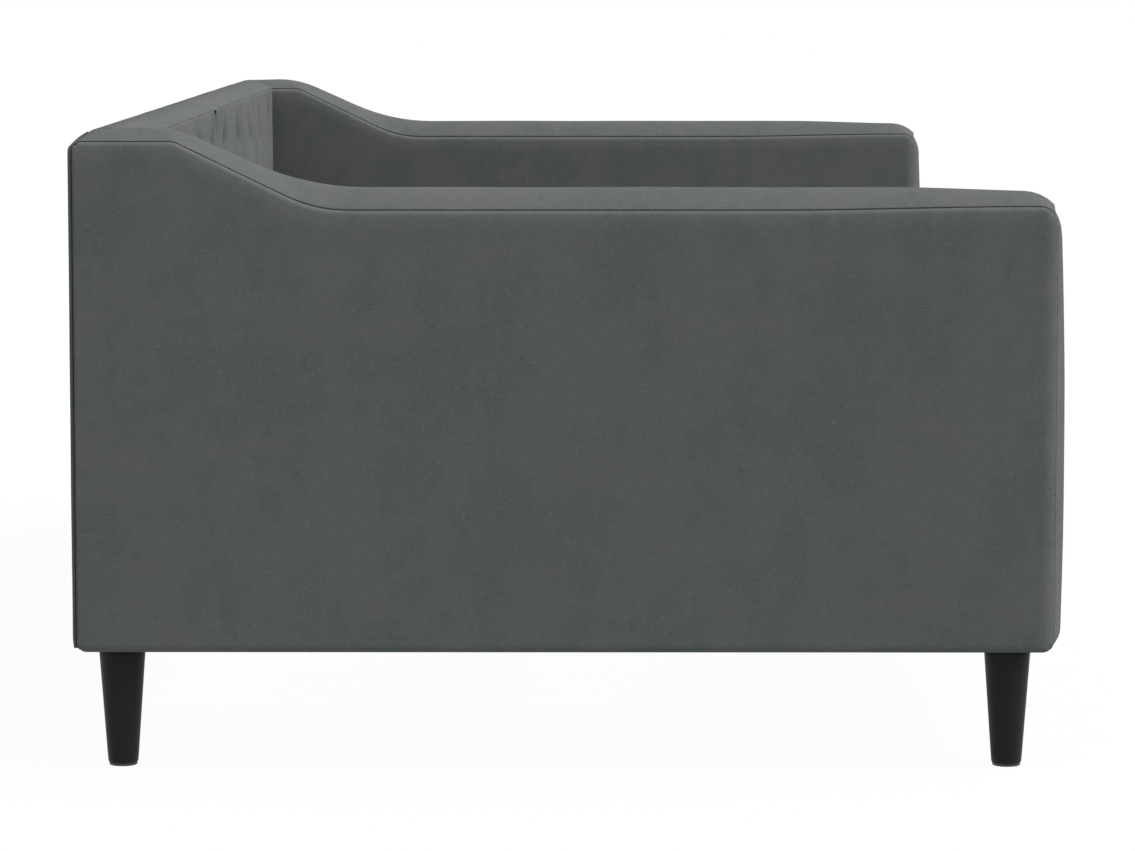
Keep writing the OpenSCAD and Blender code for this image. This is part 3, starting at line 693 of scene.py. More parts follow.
def back_pad(name, seed):
    """The tufted front pad of the left half. That of the right half is its mirror image."""
    x, z, edges = grid_between(pad_low.x, pad_high.x, body_low, pad_top, pad_corners, pad_step)
    inward = edges.min(axis=0)
    gap = np.minimum(x - pad_low.x, pad_high.x - x)
    below = pad_top(x) - z
    full = 1 - np.exp(-gap / pad_fade)
    full = full * (1 - np.clip(1 - below / 0.080, 0, 1) ** 2.3) * ease((z - 0.235) / 0.13)
    upper = ease((z - 0.61) / 0.03)
    from_joint = pad_high.x - x
    rounding = np.maximum((0.0015 + 0.0035 * upper) * np.clip(1 - from_joint / 0.006, 0, 1) ** 2,
                          0.0012 * np.clip(1 - (x - pad_low.x) / 0.003, 0, 1) ** 2)
    rounding += 0.0018 * upper * np.exp(-(from_joint / 0.02) ** 2)
    rounding += 0.006 * np.clip(1 - (z - body_low) / 0.01, 0, 1) ** 2
    groove = seam_turn * np.exp(-below / seam_lip)
    creased = creases(x, z, seed) * ease((0.63 - z) / 0.05) * ease((z - 0.30) / 0.06) * ease(gap / 0.02)
    face_y = back_seam_y - back_swell * full
    face_y = face_y + (seat_y - 0.001 - face_y) * tufting(x, z)
    face_y += folds(x, z) + rounding + groove + pad_ripple * puckers(x, z, inward, seed)
    face_y += pad_wave * waves_over(x, z, 0.13, seed) * ease(inward / 0.03)
    face_y += crease_depth * creased
    out_x = x - arm_fill * ease((z - 0.635) / 0.03) * np.exp(-(x - pad_low.x) / 0.010)
    face = np.stack([out_x, face_y, z], -1)
    uv = np.stack([x + seed, z], -1)

    def rim(y, drawn_in):
        def moved(points):
            line = toward(points[:, [0, 2]], pad_low.x + 0.27, pad_high.x - 0.27, 0.397, drawn_in)
            line[:, 1] = np.minimum(line[:, 1], back_seam_z - 0.0125)
            return np.column_stack([line[:, 0], np.maximum(points[:, 1] + 0.002, y), line[:, 1]])
        return moved

    piece = grid_piece(name, face, uv, [rim(0.466, 0.0), rim(pad_high.y - 0.0004, 0.003)], cloth)
    seats = np.min([np.hypot(x - bx, z - bz) for bx, bz in tufts], axis=0) < button_r
    held = np.nonzero((seats | (inward < held_edge)).ravel())[0]
    held = np.concatenate([held, np.arange(x.size, len(piece.data.vertices))])
    settle(piece, held, settle_pressure, settle_most)
    finer(piece)
    return piece


def mirrored(piece, name):
    """A copy of a left-hand piece on the right, faces outwards."""
    mesh = piece.data.copy()
    mesh.name = name
    co = np.array([v.co for v in mesh.vertices])
    co[:, 0] *= -1
    mesh.vertices.foreach_set("co", co.ravel())
    mesh.flip_normals()
    made = bpy.data.objects.new(name, mesh)
    bpy.context.scene.collection.objects.link(made)
    return made


left_pad = back_pad("left_back_tufted_pad", 5.2)
right_pad = mirrored(left_pad, "right_back_tufted_pad")
settled = np.array([v.co for v in left_pad.data.vertices])
shows = settled[:, 1] < 0.462           # the left cover is drawn back further than the right at their joint
near_joint = np.exp(-(settled[:, 0] / 0.045) ** 2)
settled[:, 1] += shows * joint_step * ease((settled[:, 2] - 0.62) / 0.03) * near_joint
left_pad.data.vertices.foreach_set("co", settled.ravel())
for which, piece in (("left", left_pad), ("right", right_pad)):
    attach(piece, "root")
    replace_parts(piece, which + "_back_front_pad")

# ------------------------------------------------------------------ Top pads of the backrest
# A strip of cloth over thinner foam covers the top of each half. It is sewn to the front pad
# along the front edge and rolls over to the rear, and its ends are rounded where the halves meet.

top_low, top_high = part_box("left_back_top_pad")
top_wave = 0.0006                       # depth of the waves and ripples
ends = ((0, 0.0016), (0.0002, 0.0011), (0.0005, 0.0007), (0.001, 0.0003), (0.002, 0.0001), (0.004, 0))


def uv_of(points, faces, across, up, shift=0.0):
    """Cloth coordinates of the corners of the faces, from two coordinates of their points."""
    return [(points[i][across] + shift, points[i][up]) for face in faces for i in face]


def loft_piece(name, stations, outlines, finish, shift=0.0):
    """A closed form through one outline in (y, z) at each station along X, with both ends closed."""
    around = len(outlines[0])
    rings = [np.column_stack([np.full(around, x), line]) for x, line in zip(stations, outlines)]
    points = np.concatenate(rings)
    faces = tube_faces(len(rings), around)
    corner_uv = tube_uv([x + shift for x in stations], length_round(rings[len(rings) // 2]))
    caps = [range(around), range(len(points) - around, len(points))]
    return new_piece(name, points, faces + caps, corner_uv + uv_of(points, caps, 1, 2), finish)


def stations_between(low, high, step=0.007, rounding=ends):
    """Places along X with the rounding of both ends: [(x, how far the outline is drawn in), ...]."""
    reach = rounding[-1][0]
    count = max(4, round((high - low - 2 * reach) / step))
    middle = np.linspace(low + reach, high - reach, count + 1)[1:-1]
    return ([(low + e, d) for e, d in rounding] + [(x, 0.0) for x in middle]
            + [(high - e, d) for e, d in reversed(rounding)])


top_line, top_out = rounded(
    [(pad_high.y, top_low.z, 0.001), (top_high.y, top_low.z, 0.001), (top_high.y, top_high.z, 0.028),
     (back_seam_y + 0.026, top_high.z, 0.040), (back_seam_y, back_seam_z + seam_slit, 0.0018)],
    [6, 8, 5, 6, 5])


def back_top_pad(name, low, high, seed):
    """The top pad of one half, from low to high along X."""
    places = stations_between(low, high)
    seam_gap = np.linalg.norm(top_line - (back_seam_y, back_seam_z), axis=1)
    shows = (top_out[:, 1] > -0.3) & (top_line[:, 1] > top_low.z + 0.004)
    lines = []
    for x, drawn_in in places:
        along = np.full(len(top_line), x)
        ripple = waves_over(along / ripple_long, seam_gap / ripple_wide, 1.0, seed)
        ripple = ripple * np.exp(-seam_gap / band_ripple_reach) * ease(seam_gap / 0.003)
        broad = waves_over(along, seam_gap, 0.10, seed)
        lift = np.where(shows, top_wave * ripple + top_wave * broad, 0)
        line = top_line + top_out * (lift - drawn_in)[:, None]
        line[:, 1] -= seam_sag(x) * np.exp(-seam_gap / 0.03) * shows
        line[:, 1] -= rear_droop * ease((line[:, 0] - 0.46) / 0.04) * shows * (line[:, 1] > 0.66)
        lines.append(line)
    piece = loft_piece(name, [p[0] for p in places], lines, cloth, seed)
    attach(piece, "root")
    return piece


left_roll = back_top_pad("left_back_top_roll", top_low.x - arm_fill, top_high.x, 21.0)
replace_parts(left_roll, "left_back_top_pad")
right_roll = back_top_pad("right_back_top_roll", -top_high.x, arm_fill - top_low.x, 25.0)
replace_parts(right_roll, "right_back_top_pad")

# ------------------------------------------------------------------ Buttons
# Domed steel blanks are covered in the same cloth. It is gathered over the rim of each, so it
# shows fine radial creases there.

button_steps = 40
button_profile = ((1.0, 0.0), (1.03, 0.10), (1.0, 0.28), (0.93, 0.50),
                  (0.80, 0.70), (0.62, 0.85), (0.40, 0.95), (0.18, 0.99))  # share of radius and of height
gathers, gather_depth = 13, 0.012       # creases round a button, and their share of its radius


def covered_buttons(name, centres, seed):
    """All the buttons of one half as one mesh of closed domes facing the front."""
    points, faces = [], []
    height = button_high.y - button_low.y
    for n, (bx, bz) in enumerate(centres):
        first = len(points)
        own = []
        for k, (reach, rise) in enumerate(button_profile):
            for s in range(button_steps):
                angle = 2 * math.pi * s / button_steps
                crease = 1 - gather_depth * math.cos(angle * gathers + n) * max(0, 1 - k / 4)
                r = (button_r - 0.0004) * reach * crease
                own.append((bx + r * math.cos(angle), seat_y - height * rise, bz + r * math.sin(angle)))
        own.append((bx, seat_y - height, bz))
        own.append((bx, seat_y, bz))
        faces += tube_faces(len(button_profile), button_steps, first)
        last = (len(button_profile) - 1) * button_steps
        for s in range(button_steps):
            t = (s + 1) % button_steps
            faces.append((first + last + s, first + last + t, first + len(own) - 2))
            faces.append((first + t, first + s, first + len(own) - 1))
        points += own
    piece = new_piece(name, points, faces, uv_of(points, faces, 0, 2, seed), cloth)
    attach(piece, "root")
    return piece


for which, mirror in (("left", 1), ("right", -1)):
    buttons = covered_buttons(which + "_covered_buttons", [(mirror * x, z) for x, z in tufts], 2.0 + mirror)
    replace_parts(buttons, which + "_back_buttons")

# ------------------------------------------------------------------ Rear panels
# Four thin boards wrapped in the same cloth close the rear. They are pinned on, stand slightly
# proud, curl forward over the top edge and tuck in a little at the bottom.

panel_low, panel_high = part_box("left_back_rear_panel")
panel_t = panel_high.y - body_rear
curl_r, curl_tight = 0.0275, 0.0125     # radius of the top edge, and of the same beside the seams of an arm
panel_ends = ((0, 0.0013), (0.0004, 0.0008), (0.001, 0.0004), (0.002, 0.0001), (0.004, 0))


def panel_section(x):
    """The outer and inner lines of a panel's section in (y, z) at x, and the way out of each point.
    Behind an arm its top edge is lower and sharper towards the seams, as the padded band is."""
    off = abs(abs(x) - abs(arm_middle)) / band_half
    share = min(1, off) ** band_crown if abs(x) > abs(inner_high.x) else 0.0
    r = curl_r + (curl_tight - curl_r) * share
    top = band_high.z - rear_droop
    centre = np.array([body_rear - r, top + (arm_high.z + 0.001 - top) * share - r])
    outer, inner = [], []
    for z in np.concatenate([panel_low.z + np.array([0, 0.0006, 0.0015, 0.004, 0.008, 0.014, 0.02]),
                             np.linspace(panel_low.z + 0.03, centre[1], 60)]):
        tuck = 0.0012 * max(0, 1 - (z - panel_low.z) / 0.014) ** 2
        outer.append((panel_high.y + 0.0008 - tuck, z))
        inner.append((body_rear + 0.0003 - tuck, z))
    for angle in np.radians(np.arange(5, 61, 5)):
        way = np.array([math.cos(angle), math.sin(angle)])
        thin = 1 - 0.82 * ease((math.degrees(angle) - 15) / 45)
        outer.append(tuple(centre + way * (r + (panel_t + 0.0008) * thin)))
        inner.append(tuple(centre + way * (r + 0.0005)))
    outer, inner = np.array(outer), np.array(inner)
    out = outer - inner
    return outer, inner, out / np.linalg.norm(out, axis=1, keepdims=True)


def rear_panel(name, low, high, seed):
    """One wrapped board, from low to high along X. The narrow ones behind the arms need more sections."""
    places = stations_between(low, high, 0.004 if high - low < 0.2 else 0.012, panel_ends)
    lines = []
    for x, drawn_in in places:
        outer, inner, out = panel_section(x)
        lift = 0.0004 * wander(np.column_stack([np.full(len(outer), x), outer]), 0.12, seed)[:, None]
        outer = outer + out * (lift - 0.7 * drawn_in)
        inner = inner + out * 0.15 * drawn_in
        lines.append(np.concatenate([outer, inner[::-1]]))
    piece = loft_piece(name, [p[0] for p in places], lines, cloth, seed)
    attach(piece, "root")
    return piece


for node in ("left_arm_rear_panel", "left_back_rear_panel", "right_back_rear_panel", "right_arm_rear_panel"):
    low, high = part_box(node)
    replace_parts(rear_panel(node + "_covered", low.x + 0.0004, high.x - 0.0004, 31 + low.x), node)

# ------------------------------------------------------------------ Front rail cover
# Cloth over 8 mm of foam is wrapped round the front rail and stapled underneath, where the
# timber of the rail still shows between its two hems.

cover_low, cover_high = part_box("front_rail_pad")
core_low, core_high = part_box("front_rail")
hem_t, hem_w = 0.0012, 0.006            # thickness and width of the hems under the rail
tight = 0.0003                          # between the cloth and the timber
cover_crown = 0.0020                    # how far the foam swells at half height
cover_wave, cover_ripple = 0.0007, 0.0003  # depth of its broad waves and of its ripples
cover_line, cover_out = rounded(
    [(cover_low.y, cover_low.z - hem_t, 0.006), (core_low.y + hem_w, cover_low.z - hem_t, tight),
     (core_low.y + hem_w, core_low.z - tight, tight), (core_low.y, core_low.z - tight, tight),
     (core_low.y, core_high.z + tight, tight), (core_high.y, core_high.z + tight, tight),
     (core_high.y, core_low.z - tight, tight), (core_high.y - hem_w, core_low.z - tight, tight),
     (core_high.y - hem_w, cover_low.z - hem_t, tight), (cover_high.y, cover_low.z - hem_t, 0.003),
     (cover_high.y, cover_high.z, 0.012), (cover_low.y, cover_high.z, 0.015)],
    [34, 3, 2, 2, 3, 3, 3, 2, 2, 3, 34, 6])


def front_rail_cover(name, seed):
    """The cover as one closed sleeve with a slot underneath."""
    places = stations_between(cover_low.x, cover_high.x, 0.009)
    outside = ((cover_line[:, 0] < core_low.y - 0.001) | (cover_line[:, 0] > core_high.y + 0.001)
               | (cover_line[:, 1] > core_high.z + 0.001))
    height = np.clip((cover_line[:, 1] - cover_low.z) / (cover_high.z - cover_low.z), 0, 1)
    crown = np.where(cover_line[:, 0] < core_low.y, cover_crown * np.sin(math.pi * height), 0)
    lines = []
    for x, drawn_in in places:
        points = np.column_stack([np.full(len(cover_line), x), cover_line])
        lift = crown + cover_wave * wander(points, 0.12, seed)
        lift = lift + cover_ripple * wander(points, 0.035, seed + 4)
        lines.append(cover_line + cover_out * np.where(outside, lift - 0.5 * drawn_in, 0)[:, None])
    piece = loft_piece(name, [p[0] for p in places], lines, cloth, seed)
    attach(piece, "root")
    return piece


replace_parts(front_rail_cover("front_rail_cover", 44.0), "front_rail_pad")

# ------------------------------------------------------------------ Seam stitches
# Bonded polyester thread, sewn at five stitches to 25 mm. Where the cloth is drawn tight
# over the foam, short lengths of the thread can be seen at the bottom of each seam.

stitch_pitch, stitch_long, stitch_thick = 0.0050, 0.0034, 0.0007
stitch_depth = 0.0022                   # how far down in the slit the thread lies


def two_tone(name, dark, light, mottle, grain=None, bump=None, **values):
    """A material that wanders between two tones with the noise mottle. The noise grain, or else mottle,
    gives it relief if bump says how much. Returns the material, its tree, its shader and that noise."""
    made, tree, shader = start_material(name, **values)
    place = add(tree, "ShaderNodeTexCoord").outputs["Object"]
    shade = add(tree, "ShaderNodeTexNoise", {"Vector": place, **mottle})
    tint = add(tree, "ShaderNodeMix",
               {"Factor": shade.outputs["Fac"], 6: linear(dark), 7: linear(light)}, data_type="RGBA")
    tree.links.new(tint.outputs[2], shader.inputs["Base Color"])
    fine = add(tree, "ShaderNodeTexNoise", {"Vector": place, **grain}) if grain else shade
    if bump:
        raised = add(tree, "ShaderNodeBump",
                     {"Height": fine.outputs["Fac"], "Distance": bump[0], "Strength": bump[1]})
        tree.links.new(raised.outputs[0], shader.inputs["Normal"])
    return made, tree, shader, fine


def start_tree(name, result, **sockets):
    """A new node tree with named inputs and one geometry output: returns it and its input node."""
    tree = bpy.data.node_groups.new(name, "GeometryNodeTree")
    for label, kind in sockets.items():
        tree.interface.new_socket(label, in_out="INPUT", socket_type="NodeSocket" + kind)
    tree.interface.new_socket(result, in_out="OUTPUT", socket_type="NodeSocketGeometry")
    return tree, add(tree, "NodeGroupInput")


def end_tree(tree, given, copies, result):
    """Turns the copies into plain geometry with the given finish, and hands it out."""
    solid = add(tree, "GeometryNodeRealizeInstances", {"Geometry": copies.outputs[0]})
    painted = add(tree, "GeometryNodeSetMaterial",
                  {"Geometry": solid.outputs[0], "Material": given.outputs["Finish"]})
    add(tree, "NodeGroupOutput", {result: painted.outputs[0]})
    return tree


def row_tree(name, shape, settings):
    """A tree that sets one small shape after another along lines of edges."""
    tree, given = start_tree(name, "Row", Line="Geometry", Pitch="Float", Size="Vector", Finish="Material")
    line = add(tree, "GeometryNodeMeshToCurve", {"Mesh": given.outputs["Line"]})
    places = add(tree, "GeometryNodeCurveToPoints",
                 {"Curve": line.outputs[0], "Length": given.outputs["Pitch"]}, mode="LENGTH")
    one = add(tree, shape, settings)
    row = add(tree, "GeometryNodeInstanceOnPoints",
              {"Points": places.outputs["Points"], "Instance": one.outputs[0],
               "Rotation": places.outputs["Rotation"], "Scale": given.outputs["Size"]})
    return end_tree(tree, given, row, "Row")


def from_tree(name, tree, values, lines=((), ())):
    """Runs a tree on a mesh of points and edges and keeps the result as a plain mesh object."""
    mesh = bpy.data.meshes.new(name)
    mesh.from_pydata(lines[0], lines[1], [])
    piece = bpy.data.objects.new(name, mesh)
    bpy.context.scene.collection.objects.link(piece)
    modifier = piece.modifiers.new(name, "NODES")
    modifier.node_group = tree
    for item in tree.interface.items_tree:
        if item.in_out == "INPUT" and item.name in values:
            modifier[item.identifier] = values[item.name]
    made = bpy.data.meshes.new_from_object(piece.evaluated_get(bpy.context.evaluated_depsgraph_get()))
    piece.modifiers.clear()
    piece.data = made
    made.shade_smooth()
    return piece


def polylines(paths):
    """Points and edges of several open or closed paths: [(points, closed), ...]."""
    points, edges = [], []
    for path, closed in paths:
        first = len(points)
        points += [tuple(p) for p in path]
        edges += [(first + i, first + i + 1) for i in range(len(path) - 1)]
        if closed:
            edges.append((first + len(path) - 1, first))
    return points, edges


thread = two_tone("Bonded_polyester_sewing_thread", "#3a3f3e", "#565b59", {"Scale": 900.0, "Detail": 1.0},
                  Roughness=0.55)[0]
stitch_row = row_tree("Row_of_stitches", "GeometryNodeMeshUVSphere",
                      {"Segments": 6, "Rings": 5, "Radius": 0.5})
seam = lifted_seam()
paths = []
for mirror in (1, -1):
    for x in (arm_low.x + seam_depth + stitch_depth, inner_high.x - seam_depth - stitch_depth):
        paths.append((np.column_stack([np.full(len(seam), mirror * x), seam]), True))
    xs = np.linspace(pad_low.x + 0.01, pad_high.x - 0.01, 90)
    ys = np.full(len(xs), back_seam_y + stitch_depth)
    paths.append((np.column_stack([mirror * xs, ys, back_seam_z - seam_sag(xs)]), False))
stitch_size = (stitch_thick, stitch_thick, stitch_long)
stitches = from_tree("Seam_stitches", stitch_row,
                     {"Pitch": stitch_pitch, "Size": stitch_size, "Finish": thread}, polylines(paths))
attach(stitches, "root")

# ------------------------------------------------------------------ Dust cloths and staples
# Black spunbonded lining closes the underside of each arm. Its edges are turned under and
# held by wire staples 10 mm wide, about one to each 45 mm.

lining, tree, shader, _ = two_tone("Spunbonded_polypropylene_lining", "#141414", "#2b2b2c",
                                   {"Scale": 300.0, "Detail": 3.0}, Roughness=0.92)
shader.inputs["Sheen Weight"].default_value = 0.1
place = add(tree, "ShaderNodeTexCoord")
spots = add(tree, "ShaderNodeTexVoronoi", {"Vector": place.outputs["Object"], "Scale": 900.0})
bump = add(tree, "ShaderNodeBump", {"Height": spots.outputs["Distance"], "Distance": 0.0004})
tree.links.new(bump.outputs[0], shader.inputs["Normal"])

staple_steel = two_tone("Galvanised_staple_wire", "#9a9da0", "#c3c6c9", {"Scale": 400.0},
                        Metallic=1.0, Roughness=0.32)[0]
staple_long = 0.010
lining_inset = 0.006                    # of the staples from the edges of the lining
lining_sag = 0.0007                     # depth of its slack ripples
staple_row = row_tree("Row_of_staples", "GeometryNodeMeshCube", {"Size": (1, 1, 1)})
staple_paths = []


def dust_cloth(name, node, seed):
    """The lining as one thin sheet with a few slack ripples."""
    low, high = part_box(node)
    x, y = np.meshgrid(np.linspace(low.x, high.x, 14), np.linspace(low.y, high.y, 170))
    edge = np.minimum(np.minimum(x - low.x, high.x - x), np.minimum(y - low.y, high.y - y))
    sag = lining_sag * waves_over(x, y * 0.4, 0.022, seed) * ease(edge / 0.02)
    points = np.stack([x, y, np.full(x.shape, low.z + 0.0003) - np.abs(sag)], -1).reshape(-1, 3)
    faces = grid_faces(np.arange(x.size).reshape(x.shape))
    piece = new_piece(name, points, faces, uv_of(points, faces, 0, 1), lining)
    if piece.data.polygons[0].normal.z > 0:
        piece.data.flip_normals()
    for x in (low.x + lining_inset, high.x - lining_inset):
        staple_paths.append(([(x, low.y + 0.01, low.z - 0.0004), (x, high.y - 0.01, low.z - 0.0004)], False))
    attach(piece, "root")
    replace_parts(piece, node)
    return piece


dust_cloth("left_arm_lining", "left_arm_dust_cloth", 1.0)
dust_cloth("right_arm_lining", "right_arm_dust_cloth", 2.0)

rail_under = core_low.z - hem_t - 0.0004
for y in (core_low.y + 0.003, core_high.y - 0.003):
    staple_paths.append(([(cover_low.x + 0.02, y, rail_under), (cover_high.x - 0.02, y, rail_under)], False))
staples = from_tree("Staples", staple_row,
                    {"Pitch": 0.045, "Size": (0.0007, 0.0008, staple_long), "Finish": staple_steel},
                    polylines(staple_paths))
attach(staples, "root")

# ------------------------------------------------------------------ Timber frame
# The posts, rails, ledge and beam are planed spruce, glued and stapled under the upholstery.
# Along its grain the wood shows pale early wood, narrow darker late wood and fine fibre.

ring_width = 4.2                        # mm between the growth rings
ring_scale = 0.314 / ring_width         # the wave texture repeats every 0.314 units
pith = (17.0, 31.0, 23.0)               # mm, where the heart of the tree lay beside each piece
heart_pitch = 74.0                      # mm, after which the rings turn back, as in the next board
board_apart = 160.0                     # mm, how far apart in the tree two boards may have lain
streak_dark, streak_light = 0.86, 1.12  # tone of the fibres
board_dark, board_light = 0.93, 1.06    # tone of whole boards
spruce = ("#9f8d6e", "#8a7552")         # its early and its late wood


def timber(name, grain, early, late, own_tone=False):
    """Planed softwood with its grain along the given axis (0, 1 or 2). With own_tone each board differs."""
    finish, tree, shader = start_material(name)
    shader.inputs["Specular IOR Level"].default_value = 0.3
    place = add(tree, "ShaderNodeTexCoord")
    squeeze = [1000.0] * 3
    squeeze[grain] = 20.0               # rings wander only slowly along the grain
    moved = add(tree, "ShaderNodeVectorMath", {0: place.outputs["Object"], 1: squeeze, 2: pith},
                operation="MULTIPLY_ADD")
    parts = add(tree, "ShaderNodeSeparateXYZ", {0: moved.outputs[0]})
    board = add(tree, "ShaderNodeNewGeometry")
    apart = add(tree, "ShaderNodeMath",
                {0: board.outputs["Random Per Island"], 1: board_apart if own_tone else 0.0},
                operation="MULTIPLY")
    at = add(tree, "ShaderNodeCombineXYZ", {grain: parts.outputs[grain]})
    for axis in range(3):
        if axis != grain:
            shifted = add(tree, "ShaderNodeMath", {0: parts.outputs[axis], 1: apart.outputs[0]},
                          operation="ADD")
            folded = add(tree, "ShaderNodeMath", {0: shifted.outputs[0], 1: heart_pitch},
                         operation="PINGPONG")
            tree.links.new(folded.outputs[0], at.inputs[axis])
    rings = add(tree, "ShaderNodeTexWave",
                {"Vector": at.outputs[0], "Scale": ring_scale, "Distortion": 7.0, "Detail": 2.0,
                 "Detail Scale": 0.3},
                wave_type="RINGS", rings_direction="XYZ"[grain], wave_profile="SAW")
    late_wood = add(tree, "ShaderNodeMapRange", {"Value": rings.outputs["Fac"], "From Min": 0.52})
    along = [3000.0] * 3
    along[grain] = 90.0                 # fibres a third of a millimetre thick and a centimetre long
    strands = add(tree, "ShaderNodeVectorMath", {0: place.outputs["Object"], 1: along}, operation="MULTIPLY")
    fibre = add(tree, "ShaderNodeTexNoise", {"Vector": strands.outputs[0], "Scale": 1.0, "Detail": 3.0})
    wood = add(tree, "ShaderNodeMix", {"Factor": late_wood.outputs[0], 6: linear(early), 7: linear(late)},
               data_type="RGBA")
    streak = add(tree, "ShaderNodeMapRange",
                 {"Value": fibre.outputs["Fac"], "To Min": streak_dark, "To Max": streak_light})
    tone = add(tree, "ShaderNodeMapRange",
               {"Value": board.outputs["Random Per Island"], "To Min": board_dark if own_tone else 1.0,
                "To Max": board_light if own_tone else 1.0})
    both = add(tree, "ShaderNodeMath", {0: streak.outputs[0], 1: tone.outputs[0]}, operation="MULTIPLY")
    lit = add(tree, "ShaderNodeVectorMath", {0: wood.outputs[2], "Scale": both.outputs[0]}, operation="SCALE")
    tree.links.new(lit.outputs[0], shader.inputs["Base Color"])
    rough = add(tree, "ShaderNodeMapRange", {"Value": fibre.outputs["Fac"], "To Min": 0.70, "To Max": 0.56})
    tree.links.new(rough.outputs[0], shader.inputs["Roughness"])
    bump = add(tree, "ShaderNodeBump", {"Height": fibre.outputs["Fac"], "Distance": 0.0002, "Strength": 0.5})
    tree.links.new(bump.outputs[0], shader.inputs["Normal"])
    return finish


def dress(node, finish):
    """Gives every face of a CAD node one finish."""
    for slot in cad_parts[node].material_slots:
        slot.material = finish


for way, grain, nodes in (
        ("across", 0, ("front_rail", "rear_rail", "front_ledge", "centre_beam",
                       "left_back_rails", "right_back_rails")),
        ("back", 1, ("left_arm_rails", "right_arm_rails")),
        ("up", 2, ("left_arm_posts", "right_arm_posts", "left_back_stiles", "right_back_stiles"))):
    finish = timber("Planed_spruce_grain_" + way, grain, *spruce)
    for node in nodes:
        dress(node, finish)

# ------------------------------------------------------------------ Hardboard
# Wet-process hardboard 3 mm thick closes the sides of the arm frames and the front of the back
# frame, under the foam. Its face is smooth and brown with a faint flow of wood fibres.

hardboard = two_tone("Tempered_hardboard", "#553d26", "#7a5f3f",
                     {"Scale": 60.0, "Detail": 6.0, "Roughness": 0.7, "Distortion": 1.2},
                     {"Scale": 700.0, "Detail": 2.0}, (0.0002, 0.4), Roughness=0.5)[0]
for node in ("left_arm_boards", "right_arm_boards", "left_back_board", "right_back_board"):
    dress(node, hardboard)

# ------------------------------------------------------------------ Slats
# Fourteen planed pine slats 60 x 12 mm with eased edges lie on the ledge and on the rear rail,
# and on the beam between them. Each is cut from another board, so tone and grain differ.

slat_low, slat_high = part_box("slats")
screw_low, screw_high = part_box("slat_screws")
slat_count = 14
slat_width = 0.060
slat_edge = 0.0025                      # radius of the eased edges
slat_pitch = (slat_high.x - slat_low.x - slat_width) / (slat_count - 1)
slat_pine = timber("Planed_pine_slat", 1, "#a29274", "#8d7857", own_tone=True)


def slat_tree():
    """A row of equal boards with eased edges, each swept along its length."""
    tree, given = start_tree("Row_of_slats", "Slats", Count="Int", Pitch="Vector", First="Vector",
                             Length="Vector", Width="Float", Thickness="Float", Edge="Float",
                             Finish="Material")
    run = add(tree, "GeometryNodeCurvePrimitiveLine", {"End": given.outputs["Length"]})
    section = add(tree, "GeometryNodeCurvePrimitiveQuadrilateral",
                  {"Width": given.outputs["Width"], "Height": given.outputs["Thickness"]})
    eased = add(tree, "GeometryNodeFilletCurve",
                {"Curve": section.outputs[0], "Radius": given.outputs["Edge"], "Count": 4}, mode="POLY")
    board = add(tree, "GeometryNodeCurveToMesh",
                {"Curve": run.outputs[0], "Profile Curve": eased.outputs[0], "Fill Caps": True})
    places = add(tree, "GeometryNodeMeshLine",
                 {"Count": given.outputs["Count"], "Offset": given.outputs["Pitch"],
                  "Start Location": given.outputs["First"]})
    row = add(tree, "GeometryNodeInstanceOnPoints",
              {"Points": places.outputs[0], "Instance": board.outputs[0]})
    return end_tree(tree, given, row, "Slats")


slats = from_tree("Pine_slats", slat_tree(),
                  {"Count": slat_count, "Pitch": (slat_pitch, 0, 0),
                   "First": (slat_low.x + slat_width / 2, slat_low.y, (slat_low.z + slat_high.z) / 2),
                   "Length": (0, slat_high.y - slat_low.y, 0), "Width": slat_width,
                   "Thickness": slat_high.z - slat_low.z, "Edge": slat_edge, "Finish": slat_pine})
slats.data.shade_flat()
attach(slats, "root")
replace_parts(slats, "slats")

# ------------------------------------------------------------------ Webbing straps
# Two black polypropylene webbings 25 mm wide are stapled to every slat, which keeps them at
# their pitch. Between the slats the webbing hangs a little slack.

webbing, tree, shader = start_material("Polypropylene_webbing_herringbone", Roughness=0.6)
rib_pitch = 2.4                         # mm between the ribs of the weave
laid = add(tree, "ShaderNodeUVMap", uv_map="cloth")
in_mm = add(tree, "ShaderNodeVectorMath", {0: laid.outputs[0], "Scale": 1000.0}, operation="SCALE")
axes = add(tree, "ShaderNodeSeparateXYZ", {0: in_mm.outputs[0]})
zigzag = add(tree, "ShaderNodeMath", {0: axes.outputs["Y"], 1: 6.0}, operation="PINGPONG")
slant = add(tree, "ShaderNodeMath", {0: axes.outputs["X"], 1: zigzag.outputs[0]}, operation="ADD")
angle = add(tree, "ShaderNodeMath", {0: slant.outputs[0], 1: 2 * math.pi / rib_pitch}, operation="MULTIPLY")
rib = add(tree, "ShaderNodeMath", {0: angle.outputs[0]}, operation="SINE")
shade = add(tree, "ShaderNodeMapRange", {"Value": rib.outputs[0], "From Min": -1.0})
tint = add(tree, "ShaderNodeMix", {"Factor": shade.outputs[0], 6: linear("#141516"), 7: linear("#303234")},
           data_type="RGBA")
tree.links.new(tint.outputs[2], shader.inputs["Base Color"])
bump = add(tree, "ShaderNodeBump", {"Height": rib.outputs[0], "Distance": 0.0003, "Strength": 0.6})
tree.links.new(bump.outputs[0], shader.inputs["Normal"])

strap_low, strap_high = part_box("slat_straps")
strap_w = 0.025
strap_slack = 0.002
strap_t = strap_high.z - strap_low.z


def strap_height(x):
    """How far the webbing hangs below the top of the slats at x."""
    along = (x - slat_low.x) % slat_pitch
    free = np.clip((along - slat_width) / (slat_pitch - slat_width), 0, 1)
    return strap_slack * np.sin(math.pi * free) ** 1.5


